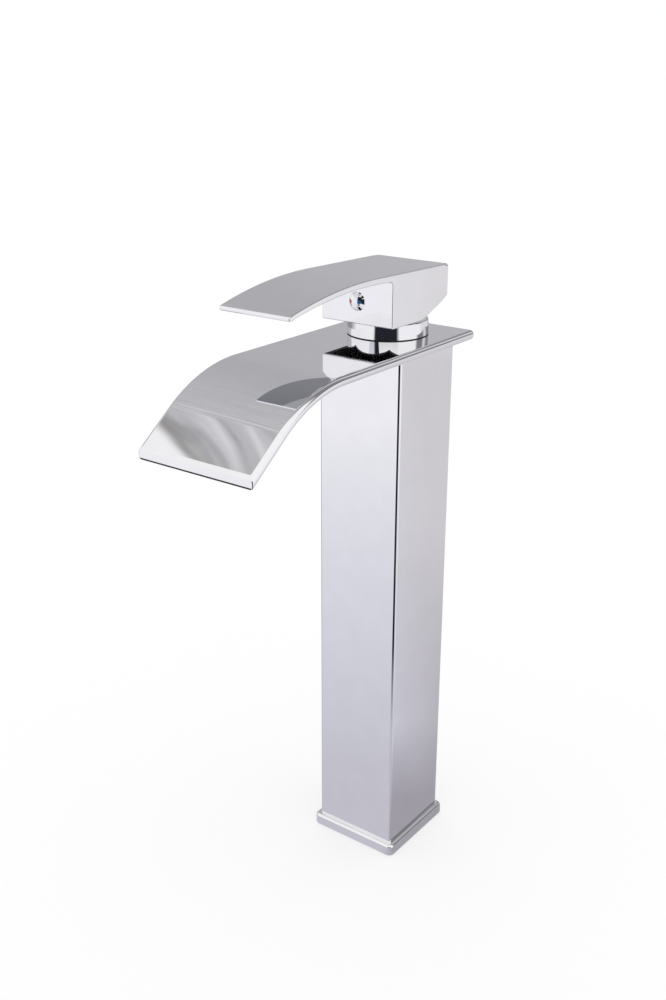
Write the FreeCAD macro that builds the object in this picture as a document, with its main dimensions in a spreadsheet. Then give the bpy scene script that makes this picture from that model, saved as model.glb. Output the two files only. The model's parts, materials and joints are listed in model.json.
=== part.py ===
import FreeCAD, Part
import Sketcher
import math
import os
import re

# Single-lever basin mixer, millimetres.
# The origin is on the column's axis at the deck, +Z is up, the spout points along -Y, cold is on +X.

SIZES = {
    # Foot plate, its gasket and its screws
    "flange_side": 50.0,
    "flange_height": 6.5,
    "flange_corner_radius": 3.0,
    "flange_edge_radius": 2.6,
    "flange_foot_radius": 1.2,
    "foot_gasket_radius": 19.0,
    "foot_gasket_width": 2.2,
    "foot_gasket_height": 2.0,
    "screw_offset": 16.5,
    "screw_radius": 1.5,
    "screw_head_radius": 2.8,
    "screw_head_height": 1.6,
    "screw_length": 14.0,
    "screw_socket_radius": 0.9,
    "screw_socket_depth": 1.0,
    # Column and the brass block in its foot
    "column_side": 45.0,
    "column_wall": 2.5,
    "column_edge_radius": 1.5,
    "column_height": 258.5,
    "inlet_block_height": 26.0,
    "spigot_radius": 16.5,
    "inlet_offset": 9.5,
    "inlet_thread_radius": 4.5,
    "inlet_thread_depth": 12.0,
    "stud_thread_radius": 3.4,
    "stud_thread_depth": 16.0,
    "waterway_radius": 2.5,
    # Riser tubes
    "riser_radius": 4.0,
    "riser_wall": 0.8,
    "riser_socket_depth": 9.0,
    "riser_seal_height": 1.5,
    # Valve block
    "valve_block_height": 35.0,
    "neck_radius": 16.0,
    "neck_rise": 3.6,
    "cartridge_depth": 23.0,
    "nut_radius": 14.0,
    "inlet_port_x": 6.0,
    "inlet_port_y": 2.1,
    "inlet_port_radius": 2.0,
    "outlet_port_y": 5.0,
    "outlet_port_radius": 2.6,
    "passage_drop": 5.0,
    "passage_radius": 2.2,
    "passage_plug_length": 2.0,
    "spout_port_x": 15.5,
    "spout_port_y": 15.0,
    "spout_gasket_thickness": 1.0,
    # Spout
    "plate_width": 60.6,
    "plate_thickness": 4.4,
    "plate_rear": 28.6,
    "plate_corner_radius": 2.4,
    "plate_edge_radius": 2.0,
    "spout_reach": 132.6,
    "spout_fall_run": 59.4,
    "spout_bend_radius": 70.0,
    "spout_bend_angle": 36.5,
    "lip_edge_radius": 3.0,
    "lip_wall": 1.6,
    "slot_width": 2.2,
    "plate_skin": 1.3,
    "cover_thickness": 1.3,
    "cover_ledge": 1.0,
    "channel_width": 50.0,
    "channel_start": 11.0,
    "neck_wall": 1.4,
    "comb_length": 8.0,
    "comb_setback": 1.5,
    "comb_web": 0.5,
    "comb_vane": 0.8,
    "comb_pitch": 4.0,
    # Collar
    "collar_radius": 19.0,
    "collar_draft": 0.4,
    "collar_height": 7.2,
    "collar_edge_radius": 0.5,
    "collar_top_wall": 1.4,
    "collar_gasket_height": 0.4,
    "collar_gasket_inset": 0.25,
    # Cartridge
    "cartridge_radius": 12.5,
    "cartridge_base_height": 6.0,
    "port_seal_width": 1.2,
    "port_seal_height": 1.8,
    "peg_x": 8.0,
    "peg_y": 6.5,
    "peg_radius": 1.1,
    "peg_length": 2.5,
    "ceramic_disc_height": 3.0,
    "fixed_disc_radius": 10.6,
    "disc_inlet_x": 4.6,
    "disc_inlet_y": 2.0,
    "disc_inlet_radius": 1.4,
    "disc_outlet_y": 4.2,
    "disc_outlet_radius": 2.2,
    "moving_disc_radius": 8.6,
    "moving_disc_offset": 1.8,
    "mixing_recess_width": 11.2,
    "mixing_recess_front": 1.5,
    "mixing_recess_rear": 6.0,
    "mixing_recess_depth": 1.2,
    "driver_height": 3.5,
    "driver_flat": 7.6,
    "rail_width": 1.5,
    "rail_length": 8.0,
    "rotor_flange_radius": 10.5,
    "rotor_flange_height": 2.5,
    "rotor_radius": 8.4,
    "rotor_rise": 2.6,
    "rotor_seal_radius": 0.7,
    "rotor_seal_height": 1.6,
    "housing_wall": 1.8,
    "housing_neck_radius": 10.3,
    "housing_rise": 2.0,
    "nut_slot_width": 3.0,
    "nut_slot_depth": 1.6,
    # Stem and pin
    "tilt_range": 20.0,
    "stem_arm": 10.5,
    "ball_radius": 2.4,
    "stem_neck_radius": 1.9,
    "stem_blade_width": 6.0,
    "stem_blade_thickness": 5.0,
    "stem_blade_drop": 5.0,
    "stem_square": 8.0,
    "stem_rise": 15.0,
    "pin_radius": 1.5,
    # Handle
    "handle_gap": 1.0,
    "handle_width": 39.8,
    "lever_tip_width": 36.5,
    "hub_rear": 20.0,
    "hub_rear_height": 22.9,
    "hub_front": 24.7,
    "hub_chamfer_start": -0.9,
    "hub_chamfer_rise": 8.1,
    "hub_wall": 2.5,
    "hub_cavity_depth": 18.0,
    "hub_cavity_rear": 9.0,
    "boss_radius": 8.0,
    "boss_setback": 3.0,
    "lever_rise_angle": 1.4,
    "lever_flat": 36.0,
    "lever_radius": 220.0,
    "lever_reach": 94.8,
    "lever_thickness": 3.2,
    "lever_tip_thickness": 2.2,
    "lever_root_radius": 1.2,
    "handle_edge_radius": 0.9,
    "grub_radius": 2.5,
    "grub_length": 9.0,
    "grub_hex_radius": 1.45,
    "grub_hex_depth": 3.0,
    "screw_boss_radius": 5.0,
    # Index plug
    "index_height": 10.2,
    "index_radius": 4.4,
    "index_dome": 2.1,
    "index_shank_radius": 3.0,
    "index_shank_length": 5.0,
    "index_dot_offset": 2.3,
    "index_dot_radius": 1.05,
    "index_dot_depth": 1.5,
    # Clearances
    "braze_gap": 0.05,
    "fit_gap": 0.1,
    "running_fit": 0.06,
    "running_gap": 0.3,
    "ball_gap": 0.15,
    "guide_gap": 0.15,
    "slot_gap": 0.25,
    "chamber_gap": 0.2,
}

# Heights above the deck, as expressions of the sizes
COLUMN_TOP = "(flange_height + column_height)"
PLATE_TOP = f"({COLUMN_TOP} + plate_thickness)"
BLOCK_TOP = f"({COLUMN_TOP} - spout_gasket_thickness)"
BLOCK_FOOT = f"({BLOCK_TOP} - valve_block_height)"
NECK_TOP = f"({PLATE_TOP} + neck_rise)"
SEAT = f"({PLATE_TOP} - cartridge_depth)"
PASSAGE = f"({SEAT} - passage_drop)"
RISER_LOW = "(flange_height + inlet_block_height - riser_socket_depth)"
RISER_HIGH = f"({BLOCK_FOOT} + riser_socket_depth)"
DISC_FOOT = f"({SEAT} + cartridge_base_height)"
DISC_SPLIT = f"({DISC_FOOT} + ceramic_disc_height)"
DRIVER_FOOT = f"({DISC_SPLIT} + ceramic_disc_height)"
ROTOR_FOOT = f"({DRIVER_FOOT} + driver_height + running_gap)"
ROTOR_SHOULDER = f"({ROTOR_FOOT} + rotor_flange_height)"
CHAMBER_TOP = f"({ROTOR_SHOULDER} + running_fit)"
HOUSING_SHOULDER = f"({CHAMBER_TOP} + housing_wall)"
BALL = f"({DRIVER_FOOT} + ball_radius + fit_gap)"
PIVOT = f"({BALL} + stem_arm)"
ROTOR_TOP = f"({PIVOT} + rotor_rise)"
HOUSING_TOP = f"({PIVOT} + housing_rise)"
ROTOR_SEAL = f"({CHAMBER_TOP} + rotor_seal_height)"
COLLAR_TOP = f"({PLATE_TOP} + collar_height)"
HANDLE_FOOT = f"({COLLAR_TOP} + handle_gap)"
INDEX = f"({HANDLE_FOOT} + index_height)"

# Sizes that several pieces share
COLUMN_BORE = "(column_side - 2 * column_wall)"
BLOCK_SIDE = f"({COLUMN_BORE} - 2 * braze_gap)"
RISER_BORE = "(riser_radius - riser_wall)"
COVER_DEPTH = "(plate_thickness - cover_thickness)"
NECK_RING = "(neck_radius + fit_gap + neck_wall)"
HOUSING_BORE = "(rotor_radius + running_fit)"
CHAMBER_RADIUS = "(fixed_disc_radius + chamber_gap)"
COLLAR_BORE = "(neck_radius + fit_gap)"

# Counts, the share of a wall that a rounding may take, and how near two lengths count as the same
FOOT_CORNERS = 4
NUT_SLOTS = 4
PLATE_ROUND_SHARE = 0.47
LEVER_ROUND_SHARE = 0.42
SAME = 1e-5

doc = FreeCAD.newDocument("basin_mixer")
sheet = doc.addObject("Spreadsheet::Sheet", "sizes")
for row, (size_name, size) in enumerate(SIZES.items(), start=1):
    sheet.set(f"A{row}", size_name)
    sheet.set(f"B{row}", str(size))
    sheet.setAlias(f"B{row}", size_name)
doc.recompute()

SIZE_NAME = re.compile(r"\b(" + "|".join(SIZES) + r")\b")
sub_parts = []


def bound(expression):
    """The expression with each size's name pointing at its cell."""
    return SIZE_NAME.sub(r"sizes.\1", expression)


def value(expression):
    """What an expression of the sizes comes to."""
    return float(sheet.evalExpression(expression))


def bind(thing, **sizes):
    """Bind properties of an object to expressions of the sizes."""
    for name, expression in sizes.items():
        thing.setExpression(name, bound(expression))


def put(thing, x="0", y="0", z="0", place="Placement"):
    """Bind an object's position."""
    for axis, expression in zip("xyz", (x, y, z)):
        thing.setExpression(f"{place}.Base.{axis}", bound(expression))


def keep(thing, label):
    """Name an object as one of the mixer's pieces."""
    thing.Label = label
    sub_parts.append(thing)
    return thing


# Bodies, sketches and features


def new_body(label, groups=False):
    body = doc.addObject("PartDesign::Body", label)
    body.AllowCompound = groups
    return keep(body, label)


def origin_feature(body, role):
    return next(feature for feature in body.Origin.OriginFeatures if feature.Role == role)


def new_sketch(body, plane, x="0", y="0", z="0"):
    """A sketch on one of the body's origin planes, moved along the plane's own axes."""
    sketch = body.newObject("Sketcher::SketchObject", f"{body.Name}_sketch")
    sketch.AttachmentSupport = [(origin_feature(body, plane), "")]
    sketch.MapMode = "FlatFace"
    put(sketch, x, y, z, place="AttachmentOffset")
    return sketch


def hold(sketch, geometry, point, u, v):
    """Hold a point of a sketch at its two coordinates."""
    for kind, expression in (("DistanceX", u), ("DistanceY", v)):
        constraint = Sketcher.Constraint(kind, -1, 1, geometry, point, value(expression))
        index = sketch.addConstraint(constraint)
        sketch.setExpression(f"Constraints[{index}]", bound(expression))


def hold_radius(sketch, geometry, radius):
    index = sketch.addConstraint(Sketcher.Constraint("Radius", geometry, value(radius)))
    sketch.setExpression(f"Constraints[{index}]", bound(radius))


def add_circle(sketch, radius, u="0", v="0"):
    centre = FreeCAD.Vector(value(u), value(v), 0)
    circle = Part.Circle(centre, FreeCAD.Vector(0, 0, 1), value(radius))
    geometry = sketch.addGeometry(circle, False)
    hold(sketch, geometry, 3, u, v)
    hold_radius(sketch, geometry, radius)


def arc_between(start, end, radius, side):
    """The short arc from start to end; its centre is to the left of the chord for side 1, right for -1."""
    chord = end - start
    height = math.sqrt(radius ** 2 - chord.Length ** 2 / 4)
    left = FreeCAD.Vector(-chord.y, chord.x, 0).normalize()
    centre = (start + end) / 2 + left * (side * height)
    circle = Part.Circle(centre, FreeCAD.Vector(0, 0, 1), radius)
    first, last = (start, end) if side > 0 else (end, start)
    return Part.ArcOfCircle(circle, circle.parameter(first), circle.parameter(last))


def add_outline(sketch, corners, arcs=None):
    """A closed outline through the corners; arcs maps a corner to the radius and side of the arc after it."""
    arcs = arcs or {}
    points = [FreeCAD.Vector(value(u), value(v), 0) for u, v in corners]
    edges = []
    for index, start in enumerate(points):
        end = points[(index + 1) % len(points)]
        if index in arcs:
            radius, side = arcs[index]
            geometry = sketch.addGeometry(arc_between(start, end, value(radius), side), False)
            edges.append((geometry, 1, 2) if side > 0 else (geometry, 2, 1))
        else:
            edges.append((sketch.addGeometry(Part.LineSegment(start, end), False), 1, 2))
    for index, (geometry, _, last) in enumerate(edges):
        following, following_first, _ = edges[(index + 1) % len(edges)]
        sketch.addConstraint(Sketcher.Constraint("Coincident", geometry, last, following, following_first))
    for (geometry, first, _), (u, v) in zip(edges, corners):
        hold(sketch, geometry, first, u, v)
    for index, (radius, _) in arcs.items():
        hold_radius(sketch, edges[index][0], radius)


def add_rectangle(sketch, left, right, low, high):
    add_outline(sketch, [(left, low), (right, low), (right, high), (left, high)])


def add_square(sketch, side):
    half = f"({side} / 2)"
    add_rectangle(sketch, f"-{half}", half, f"-{half}", half)


def make_feature(body, kind, sketch, side_type="One side", reverse=False, **sizes):
    """Pad or Pocket of a sketch. A pocket that removes nothing is an error."""
    before = body.Shape.Volume if kind == "Pocket" else 0
    feature = body.newObject(f"PartDesign::{kind}", f"{body.Name}_{kind.lower()}")
    feature.Profile = sketch
    feature.SideType = side_type
    feature.Reversed = reverse
    bind(feature, **sizes)
    doc.recompute()
    if kind == "Pocket" and body.Shape.Volume >= before:
        raise RuntimeError(f"{feature.Name} removes nothing")
    return feature


def pad(body, sketch, length, **options):
    return make_feature(body, "Pad", sketch, Length=length, **options)


def pocket(body, sketch, length, **options):
    return make_feature(body, "Pocket", sketch, Length=length, **options)


def turn(body, corners, x="0", y="0", kind="Revolution"):
    """A profile of radius and height corners, turned about a vertical axis at x, y."""
    sketch = new_sketch(body, "XZ_Plane", x=x, z=f"-({y})")
    add_outline(sketch, corners)
    feature = body.newObject(f"PartDesign::{kind}", f"{body.Name}_turn")
    feature.Profile = sketch
    feature.ReferenceAxis = (sketch, ["V_Axis"])
    feature.Angle = 360
    doc.recompute()
    return feature


def ring(inner, outer, low, high):
    """Corners of a turned ring's section."""
    return [(inner, low), (outer, low), (outer, high), (inner, high)]


def round_edges(body, radius, chosen):
    """Fillet the edges of a body that chosen(middle, direction) picks."""
    doc.recompute()
    tip = body.Tip
    names = []
    for number, edge in enumerate(tip.Shape.Edges, start=1):
        middle_parameter = (edge.FirstParameter + edge.LastParameter) / 2
        if chosen(edge.valueAt(middle_parameter), edge.tangentAt(middle_parameter)):
            names.append(f"Edge{number}")
    fillet = body.newObject("PartDesign::Fillet", f"{body.Name}_round")
    fillet.Base = (tip, names)
    bind(fillet, Radius=radius)
    doc.recompute()
    return fillet


def same(first, second):
    return abs(first - second) < SAME


def is_along(direction, axis):
    return same(abs(getattr(direction, axis)), 1)


def repeat_round(body, feature, count):
    """Repeat a feature evenly about the vertical axis."""
    pattern = body.newObject("PartDesign::PolarPattern", f"{body.Name}_pattern")
    pattern.Originals = [feature]
    pattern.Axis = (origin_feature(body, "Z_Axis"), [""])
    pattern.Angle = 360
    pattern.Occurrences = count
    body.Tip = pattern
    doc.recompute()


# Solid primitives

ALONG_Z = FreeCAD.Rotation()
ALONG_X = FreeCAD.Rotation(FreeCAD.Vector(0, 1, 0), 90)
ALONG_FRONT = FreeCAD.Rotation(FreeCAD.Vector(1, 0, 0), 90)


def primitive(kind, name, rotation=ALONG_Z, x="0", y="0", z="0", **sizes):
    solid = doc.addObject(f"Part::{kind}", name)
    solid.Placement.Rotation = rotation
    put(solid, x, y, z)
    bind(solid, **sizes)
    return solid


def block(name, width, depth, height, x="0", y="0", z="0"):
    """A box centred on x and y, standing on z."""
    return primitive("Box", name, x=f"{x} - {width} / 2", y=f"{y} - {depth} / 2", z=z,
                     Length=width, Width=depth, Height=height)


def join(name, *solids):
    union = doc.addObject("Part::MultiFuse", name)
    union.Shapes = list(solids)
    return union


def cut(name, base, tool):
    difference = doc.addObject("Part::Cut", name)
    difference.Base = base
    difference.Tool = tool
    return difference


def common(name, *solids):
    overlap = doc.addObject("Part::MultiCommon", name)
    overlap.Shapes = list(solids)
    return overlap


def group(name, *solids):
    compound = doc.addObject("Part::Compound", name)
    compound.Links = list(solids)
    return compound


# Foot


def make_base_flange():
    """Square foot plate with rounded edges, bored for the inlet block's spigot."""
    body = new_body("base_flange")
    sketch = new_sketch(body, "XY_Plane")
    add_square(sketch, "flange_side")
    pad(body, sketch, "flange_height")
    round_edges(body, "flange_corner_radius", lambda middle, way: is_along(way, "z"))
    top = value("flange_height")
    round_edges(body, "flange_edge_radius",
                lambda middle, way: same(middle.z, top) and same(way.z, 0))
    round_edges(body, "flange_foot_radius",
                lambda middle, way: same(middle.z, 0) and same(way.z, 0))
    opening = new_sketch(body, "XY_Plane")
    add_circle(opening, "spigot_radius + fit_gap")
    pocket(body, opening, "flange_height", reverse=True)
    groove = new_sketch(body, "XY_Plane")
    add_circle(groove, "foot_gasket_radius - foot_gasket_width / 2")
    add_circle(groove, "foot_gasket_radius + foot_gasket_width / 2")
    pocket(body, groove, "foot_gasket_height", reverse=True)
    countersink = [
        ("0", "0"),
        ("screw_head_radius + fit_gap", "0"),
        ("screw_radius + fit_gap", "screw_head_height"),
        ("screw_radius + fit_gap", "flange_height"),
        ("0", "flange_height"),
    ]
    repeat_round(body, turn(body, countersink, "screw_offset", "screw_offset", kind="Groove"), FOOT_CORNERS)


def make_base_gasket():
    body = new_body("base_gasket")
    turn(body, ring("foot_gasket_radius - foot_gasket_width / 2 + braze_gap",
                    "foot_gasket_radius + foot_gasket_width / 2 - braze_gap", "0", "foot_gasket_height"))


def make_base_screws():
    """Four countersunk screws that hold the foot plate to the inlet block."""
    body = new_body("base_screws", groups=True)
    screw = [
        ("screw_socket_radius", "0"),
        ("screw_head_radius", "0"),
        ("screw_radius", "screw_head_height"),
        ("screw_radius", "screw_length"),
        ("0", "screw_length"),
        ("0", "screw_socket_depth"),
        ("screw_socket_radius", "screw_socket_depth"),
    ]
    repeat_round(body, turn(body, screw, "screw_offset", "screw_offset"), FOOT_CORNERS)


# Column and water supply


def make_column_tube():
    body = new_body("column_tube")
    outside = new_sketch(body, "XY_Plane", z="flange_height")
    add_square(outside, "column_side")
    pad(body, outside, "column_height")
    round_edges(body, "column_edge_radius", lambda middle, way: is_along(way, "z"))
    inside = new_sketch(body, "XY_Plane", z="flange_height")
    add_square(inside, COLUMN_BORE)
    pocket(body, inside, "column_height", reverse=True)


def add_pair(sketch, radius, x, y="0"):
    """Two circles, mirrored left and right."""
    for mirrored in (f"-{x}", x):
        add_circle(sketch, radius, mirrored, y)


def make_inlet_block():
    """Brass block in the column's foot: hose threads and stud thread below, riser sockets above."""
    body = new_body("inlet_block")
    spigot = new_sketch(body, "XY_Plane")
    add_circle(spigot, "spigot_radius")
    pad(body, spigot, "flange_height")
    square = new_sketch(body, "XY_Plane", z="flange_height")
    add_square(square, BLOCK_SIDE)
    pad(body, square, "inlet_block_height")
    threads = new_sketch(body, "XY_Plane")
    add_pair(threads, "inlet_thread_radius", "inlet_offset")
    pocket(body, threads, "inlet_thread_depth", reverse=True)
    stud = new_sketch(body, "XY_Plane")
    add_circle(stud, "stud_thread_radius")
    pocket(body, stud, "stud_thread_depth", reverse=True)
    waterways = new_sketch(body, "XY_Plane", z="inlet_thread_depth")
    add_pair(waterways, "waterway_radius", "inlet_offset")
    pocket(body, waterways, f"{RISER_LOW} - inlet_thread_depth", reverse=True)
    sockets = new_sketch(body, "XY_Plane", z=RISER_LOW)
    add_pair(sockets, "riser_radius + braze_gap", "inlet_offset")
    pocket(body, sockets, "riser_socket_depth", reverse=True)
    screw_holes = new_sketch(body, "XY_Plane", z="flange_height")
    for y in ("-screw_offset", "screw_offset"):
        add_pair(screw_holes, "screw_radius + braze_gap", "screw_offset", y)
    pocket(body, screw_holes, "screw_length - flange_height + running_gap", reverse=True)


def make_riser_tube(label, x):
    """Straight copper tube between the flat seals in its two sockets."""
    foot = f"({RISER_LOW} + riser_seal_height)"
    length = f"{RISER_HIGH} - riser_seal_height - {foot}"
    outside = primitive("Cylinder", f"{label}_outside", x=x, z=foot, Radius="riser_radius", Height=length)
    inside = primitive("Cylinder", f"{label}_inside", x=x, z=foot, Radius=RISER_BORE, Height=length)
    keep(cut(label, outside, inside), label)


def make_riser_seals():
    """Four flat rings, one at each end of each riser."""
    body = new_body("riser_seals", groups=True)
    for foot in (RISER_LOW, f"{RISER_HIGH} - riser_seal_height"):
        sketch = new_sketch(body, "XY_Plane", z=foot)
        add_pair(sketch, "riser_radius", "inlet_offset")
        add_pair(sketch, RISER_BORE, "inlet_offset")
        pad(body, sketch, "riser_seal_height")


def make_valve_block():
    """Brass block under the spout: cartridge seat, riser sockets and the passages to the spout."""
    body = new_body("valve_block")
    square = new_sketch(body, "XY_Plane", z=BLOCK_FOOT)
    add_square(square, BLOCK_SIDE)
    pad(body, square, "valve_block_height")
    neck = new_sketch(body, "XY_Plane", z=BLOCK_TOP)
    add_circle(neck, "neck_radius")
    pad(body, neck, f"{NECK_TOP} - {BLOCK_TOP}")
    bore = new_sketch(body, "XY_Plane", z=SEAT)
    add_circle(bore, "cartridge_radius + fit_gap")
    pocket(body, bore, f"{NECK_TOP} - {SEAT}", reverse=True)
    thread = new_sketch(body, "XY_Plane", z=f"{HOUSING_SHOULDER} - running_gap")
    add_circle(thread, "nut_radius + braze_gap")
    pocket(body, thread, f"{NECK_TOP} - {HOUSING_SHOULDER} + running_gap", reverse=True)
    sockets = new_sketch(body, "XY_Plane", z=BLOCK_FOOT)
    add_pair(sockets, "riser_radius + braze_gap", "inlet_offset")
    pocket(body, sockets, "riser_socket_depth", reverse=True)
    inlets = new_sketch(body, "XY_Plane", z=RISER_HIGH)
    add_pair(inlets, "inlet_port_radius", "inlet_port_x", "-inlet_port_y")
    pocket(body, inlets, f"{SEAT} - {RISER_HIGH}", reverse=True)
    outlet = new_sketch(body, "XY_Plane", z=PASSAGE)
    add_circle(outlet, "outlet_port_radius", "0", "outlet_port_y")
    pocket(body, outlet, "passage_drop", reverse=True)
    peg_holes = new_sketch(body, "XY_Plane", z=f"{SEAT} - peg_length - running_gap")
    add_pair(peg_holes, "peg_radius + fit_gap", "peg_x", "-peg_y")
    pocket(body, peg_holes, "peg_length + running_gap", reverse=True)
    across = new_sketch(body, "YZ_Plane", z="-spout_port_x")
    add_circle(across, "passage_radius", "outlet_port_y", PASSAGE)
    pocket(body, across, f"spout_port_x + {BLOCK_SIDE} / 2", reverse=True)
    along = new_sketch(body, "XZ_Plane", z="spout_port_y")
    add_pair(along, "passage_radius", "spout_port_x", PASSAGE)
    pocket(body, along, f"spout_port_y + {BLOCK_SIDE} / 2")
    upward = new_sketch(body, "XY_Plane", z=PASSAGE)
    add_pair(upward, "passage_radius", "spout_port_x", "-spout_port_y")
    pocket(body, upward, f"{BLOCK_TOP} - {PASSAGE}", reverse=True)


def make_passage_plugs():
    """Three plugs that close the outer ends of the valve block's cross drillings."""
    sizes = {"Radius": "passage_radius - braze_gap", "Height": "passage_plug_length"}
    face = f"{BLOCK_SIDE} / 2"
    side = primitive("Cylinder", "side_plug", ALONG_X, x=f"{face} - passage_plug_length",
                     y="outlet_port_y", z=PASSAGE, **sizes)
    rear = [primitive("Cylinder", "rear_plug", ALONG_FRONT, x=x, y=face, z=PASSAGE, **sizes)
            for x in ("-spout_port_x", "spout_port_x")]
    keep(group("passage_plugs", side, *rear), "passage_plugs")


def make_spout_gasket():
    body = new_body("spout_gasket")
    sketch = new_sketch(body, "XY_Plane", z=BLOCK_TOP)
    add_square(sketch, BLOCK_SIDE)
    add_circle(sketch, "neck_radius + fit_gap")
    add_pair(sketch, "passage_radius", "spout_port_x", "-spout_port_y")
    pad(body, sketch, "spout_gasket_thickness")


# Spout


SPOUT_FLAT = "(spout_reach - spout_fall_run)"
SPOUT_STRAIGHT = "((spout_fall_run - spout_bend_radius * sin(spout_bend_angle)) / cos(spout_bend_angle))"


def spout_point(depth, straight):
    """A point past the bend, depth below the top surface and straight beyond the bend's end."""
    across = f"{SPOUT_FLAT} + (spout_bend_radius - {depth}) * sin(spout_bend_angle)"
    drop = f"spout_bend_radius - (spout_bend_radius - {depth}) * cos(spout_bend_angle)"
    return (f"-({across} + {straight} * cos(spout_bend_angle))",
            f"{PLATE_TOP} - ({drop} + {straight} * sin(spout_bend_angle))")


BLANK_STRAIGHT = f"({SPOUT_STRAIGHT} + plate_thickness * tan(spout_bend_angle) + lip_wall)"
LIP_TANGENT = "(lip_edge_radius * tan((90 - spout_bend_angle) / 2))"
CHANNEL_STRAIGHT = f"({SPOUT_STRAIGHT} - lip_wall)"
COVER_STRAIGHT = f"({CHANNEL_STRAIGHT} - slot_width)"


def add_spout_strip(sketch, top, bottom, start, straight):
    """Side outline of a layer of the spout between two depths: flat, then bent down, then straight."""
    corners = [
        (start, f"{PLATE_TOP} - {top}"),
        (f"-{SPOUT_FLAT}", f"{PLATE_TOP} - {top}"),
        spout_point(top, "0"),
        spout_point(top, straight),
        spout_point(bottom, straight),
        spout_point(bottom, "0"),
        (f"-{SPOUT_FLAT}", f"{PLATE_TOP} - {bottom}"),
        (start, f"{PLATE_TOP} - {bottom}"),
    ]
    arcs = {1: (f"spout_bend_radius - {top}", 1), 5: (f"spout_bend_radius - {bottom}", -1)}
    add_outline(sketch, corners, arcs)


def spans_thickness(middle, way):
    """Whether an edge crosses the plate's thickness, upright at the rear or tilted in front."""
    tilt = math.radians(value("spout_bend_angle")) if middle.y < 0 else 0
    return same(abs(way.z * math.cos(tilt) - way.y * math.sin(tilt)), 1)


def is_spout_rim(middle, way):
    """Edges along the plate's sides and rear, without the bend's lines, the front end and upright seams."""
    if is_along(way, "x"):
        return same(middle.y, value("plate_rear"))
    return not spans_thickness(middle, way)


def add_lip_offcut(sketch):
    """What is trimmed off the front end: it leaves a plumb lip with a round upper edge."""
    _, corner_z = spout_point("0", SPOUT_STRAIGHT)
    beyond = "-(spout_reach + plate_thickness + lip_wall)"
    foot = f"{corner_z} - plate_thickness / cos(spout_bend_angle) - lip_wall"
    arc_start = f"({SPOUT_STRAIGHT} - {LIP_TANGENT})"
    above_y, above_z = spout_point("(-lip_wall)", arc_start)
    add_outline(sketch, [
        spout_point("0", arc_start),
        ("-spout_reach", f"{corner_z} - {LIP_TANGENT}"),
        ("-spout_reach", foot),
        (beyond, foot),
        (beyond, above_z),
        (above_y, above_z),
    ], {0: ("lip_edge_radius", 1)})


def make_spout_plate():
    """Wide plate over the column, bent down at the front, with a water channel cut from below."""
    body = new_body("spout_plate")
    side = new_sketch(body, "YZ_Plane")
    add_spout_strip(side, "0", "plate_thickness", "plate_rear", BLANK_STRAIGHT)
    pad(body, side, "plate_width", side_type="Symmetric")
    round_edges(body, "plate_corner_radius", lambda middle, way: is_along(way, "z"))
    round_edges(body, f"min(plate_edge_radius; {PLATE_ROUND_SHARE} * plate_thickness)", is_spout_rim)
    lip = new_sketch(body, "YZ_Plane")
    add_lip_offcut(lip)
    pocket(body, lip, "plate_width", side_type="Symmetric")
    channel = new_sketch(body, "YZ_Plane")
    add_spout_strip(channel, "plate_skin", COVER_DEPTH, "-channel_start", CHANNEL_STRAIGHT)
    pocket(body, channel, "channel_width", side_type="Symmetric")
    slot = new_sketch(body, "YZ_Plane")
    add_outline(slot, [spout_point(COVER_DEPTH, COVER_STRAIGHT), spout_point(COVER_DEPTH, CHANNEL_STRAIGHT),
                       spout_point("plate_thickness", CHANNEL_STRAIGHT),
                       spout_point("plate_thickness", COVER_STRAIGHT)])
    pocket(body, slot, "channel_width", side_type="Symmetric")
    rebate = new_sketch(body, "YZ_Plane")
    add_spout_strip(rebate, COVER_DEPTH, "plate_thickness", "cover_ledge - channel_start", COVER_STRAIGHT)
    pocket(body, rebate, "channel_width + 2 * cover_ledge", side_type="Symmetric")
    neck_ring = new_sketch(body, "XY_Plane", z=COLUMN_TOP)
    add_circle(neck_ring, NECK_RING)
    pad(body, neck_ring, "plate_thickness")
    hole = new_sketch(body, "XY_Plane", z=COLUMN_TOP)
    add_circle(hole, COLLAR_BORE)
    pocket(body, hole, "plate_thickness", reverse=True)


def make_spout_channel_cover():
    """Bent sheet let into the underside of the spout; the gap before its front edge is the water slot."""
    body = new_body("spout_channel_cover")
    side = new_sketch(body, "YZ_Plane")
    add_spout_strip(side, COVER_DEPTH, "plate_thickness", "cover_ledge - channel_start - braze_gap",
                    COVER_STRAIGHT)
    pad(body, side, "channel_width + 2 * (cover_ledge - braze_gap)", side_type="Symmetric")
    holes = new_sketch(body, "XY_Plane", z=COLUMN_TOP)
    add_circle(holes, f"{NECK_RING} + braze_gap")
    pocket(body, holes, "cover_thickness", reverse=True)
    ports = new_sketch(body, "XY_Plane", z=COLUMN_TOP)
    add_pair(ports, "passage_radius", "spout_port_x", "-spout_port_y")
    pocket(body, ports, "cover_thickness", reverse=True)


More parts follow.
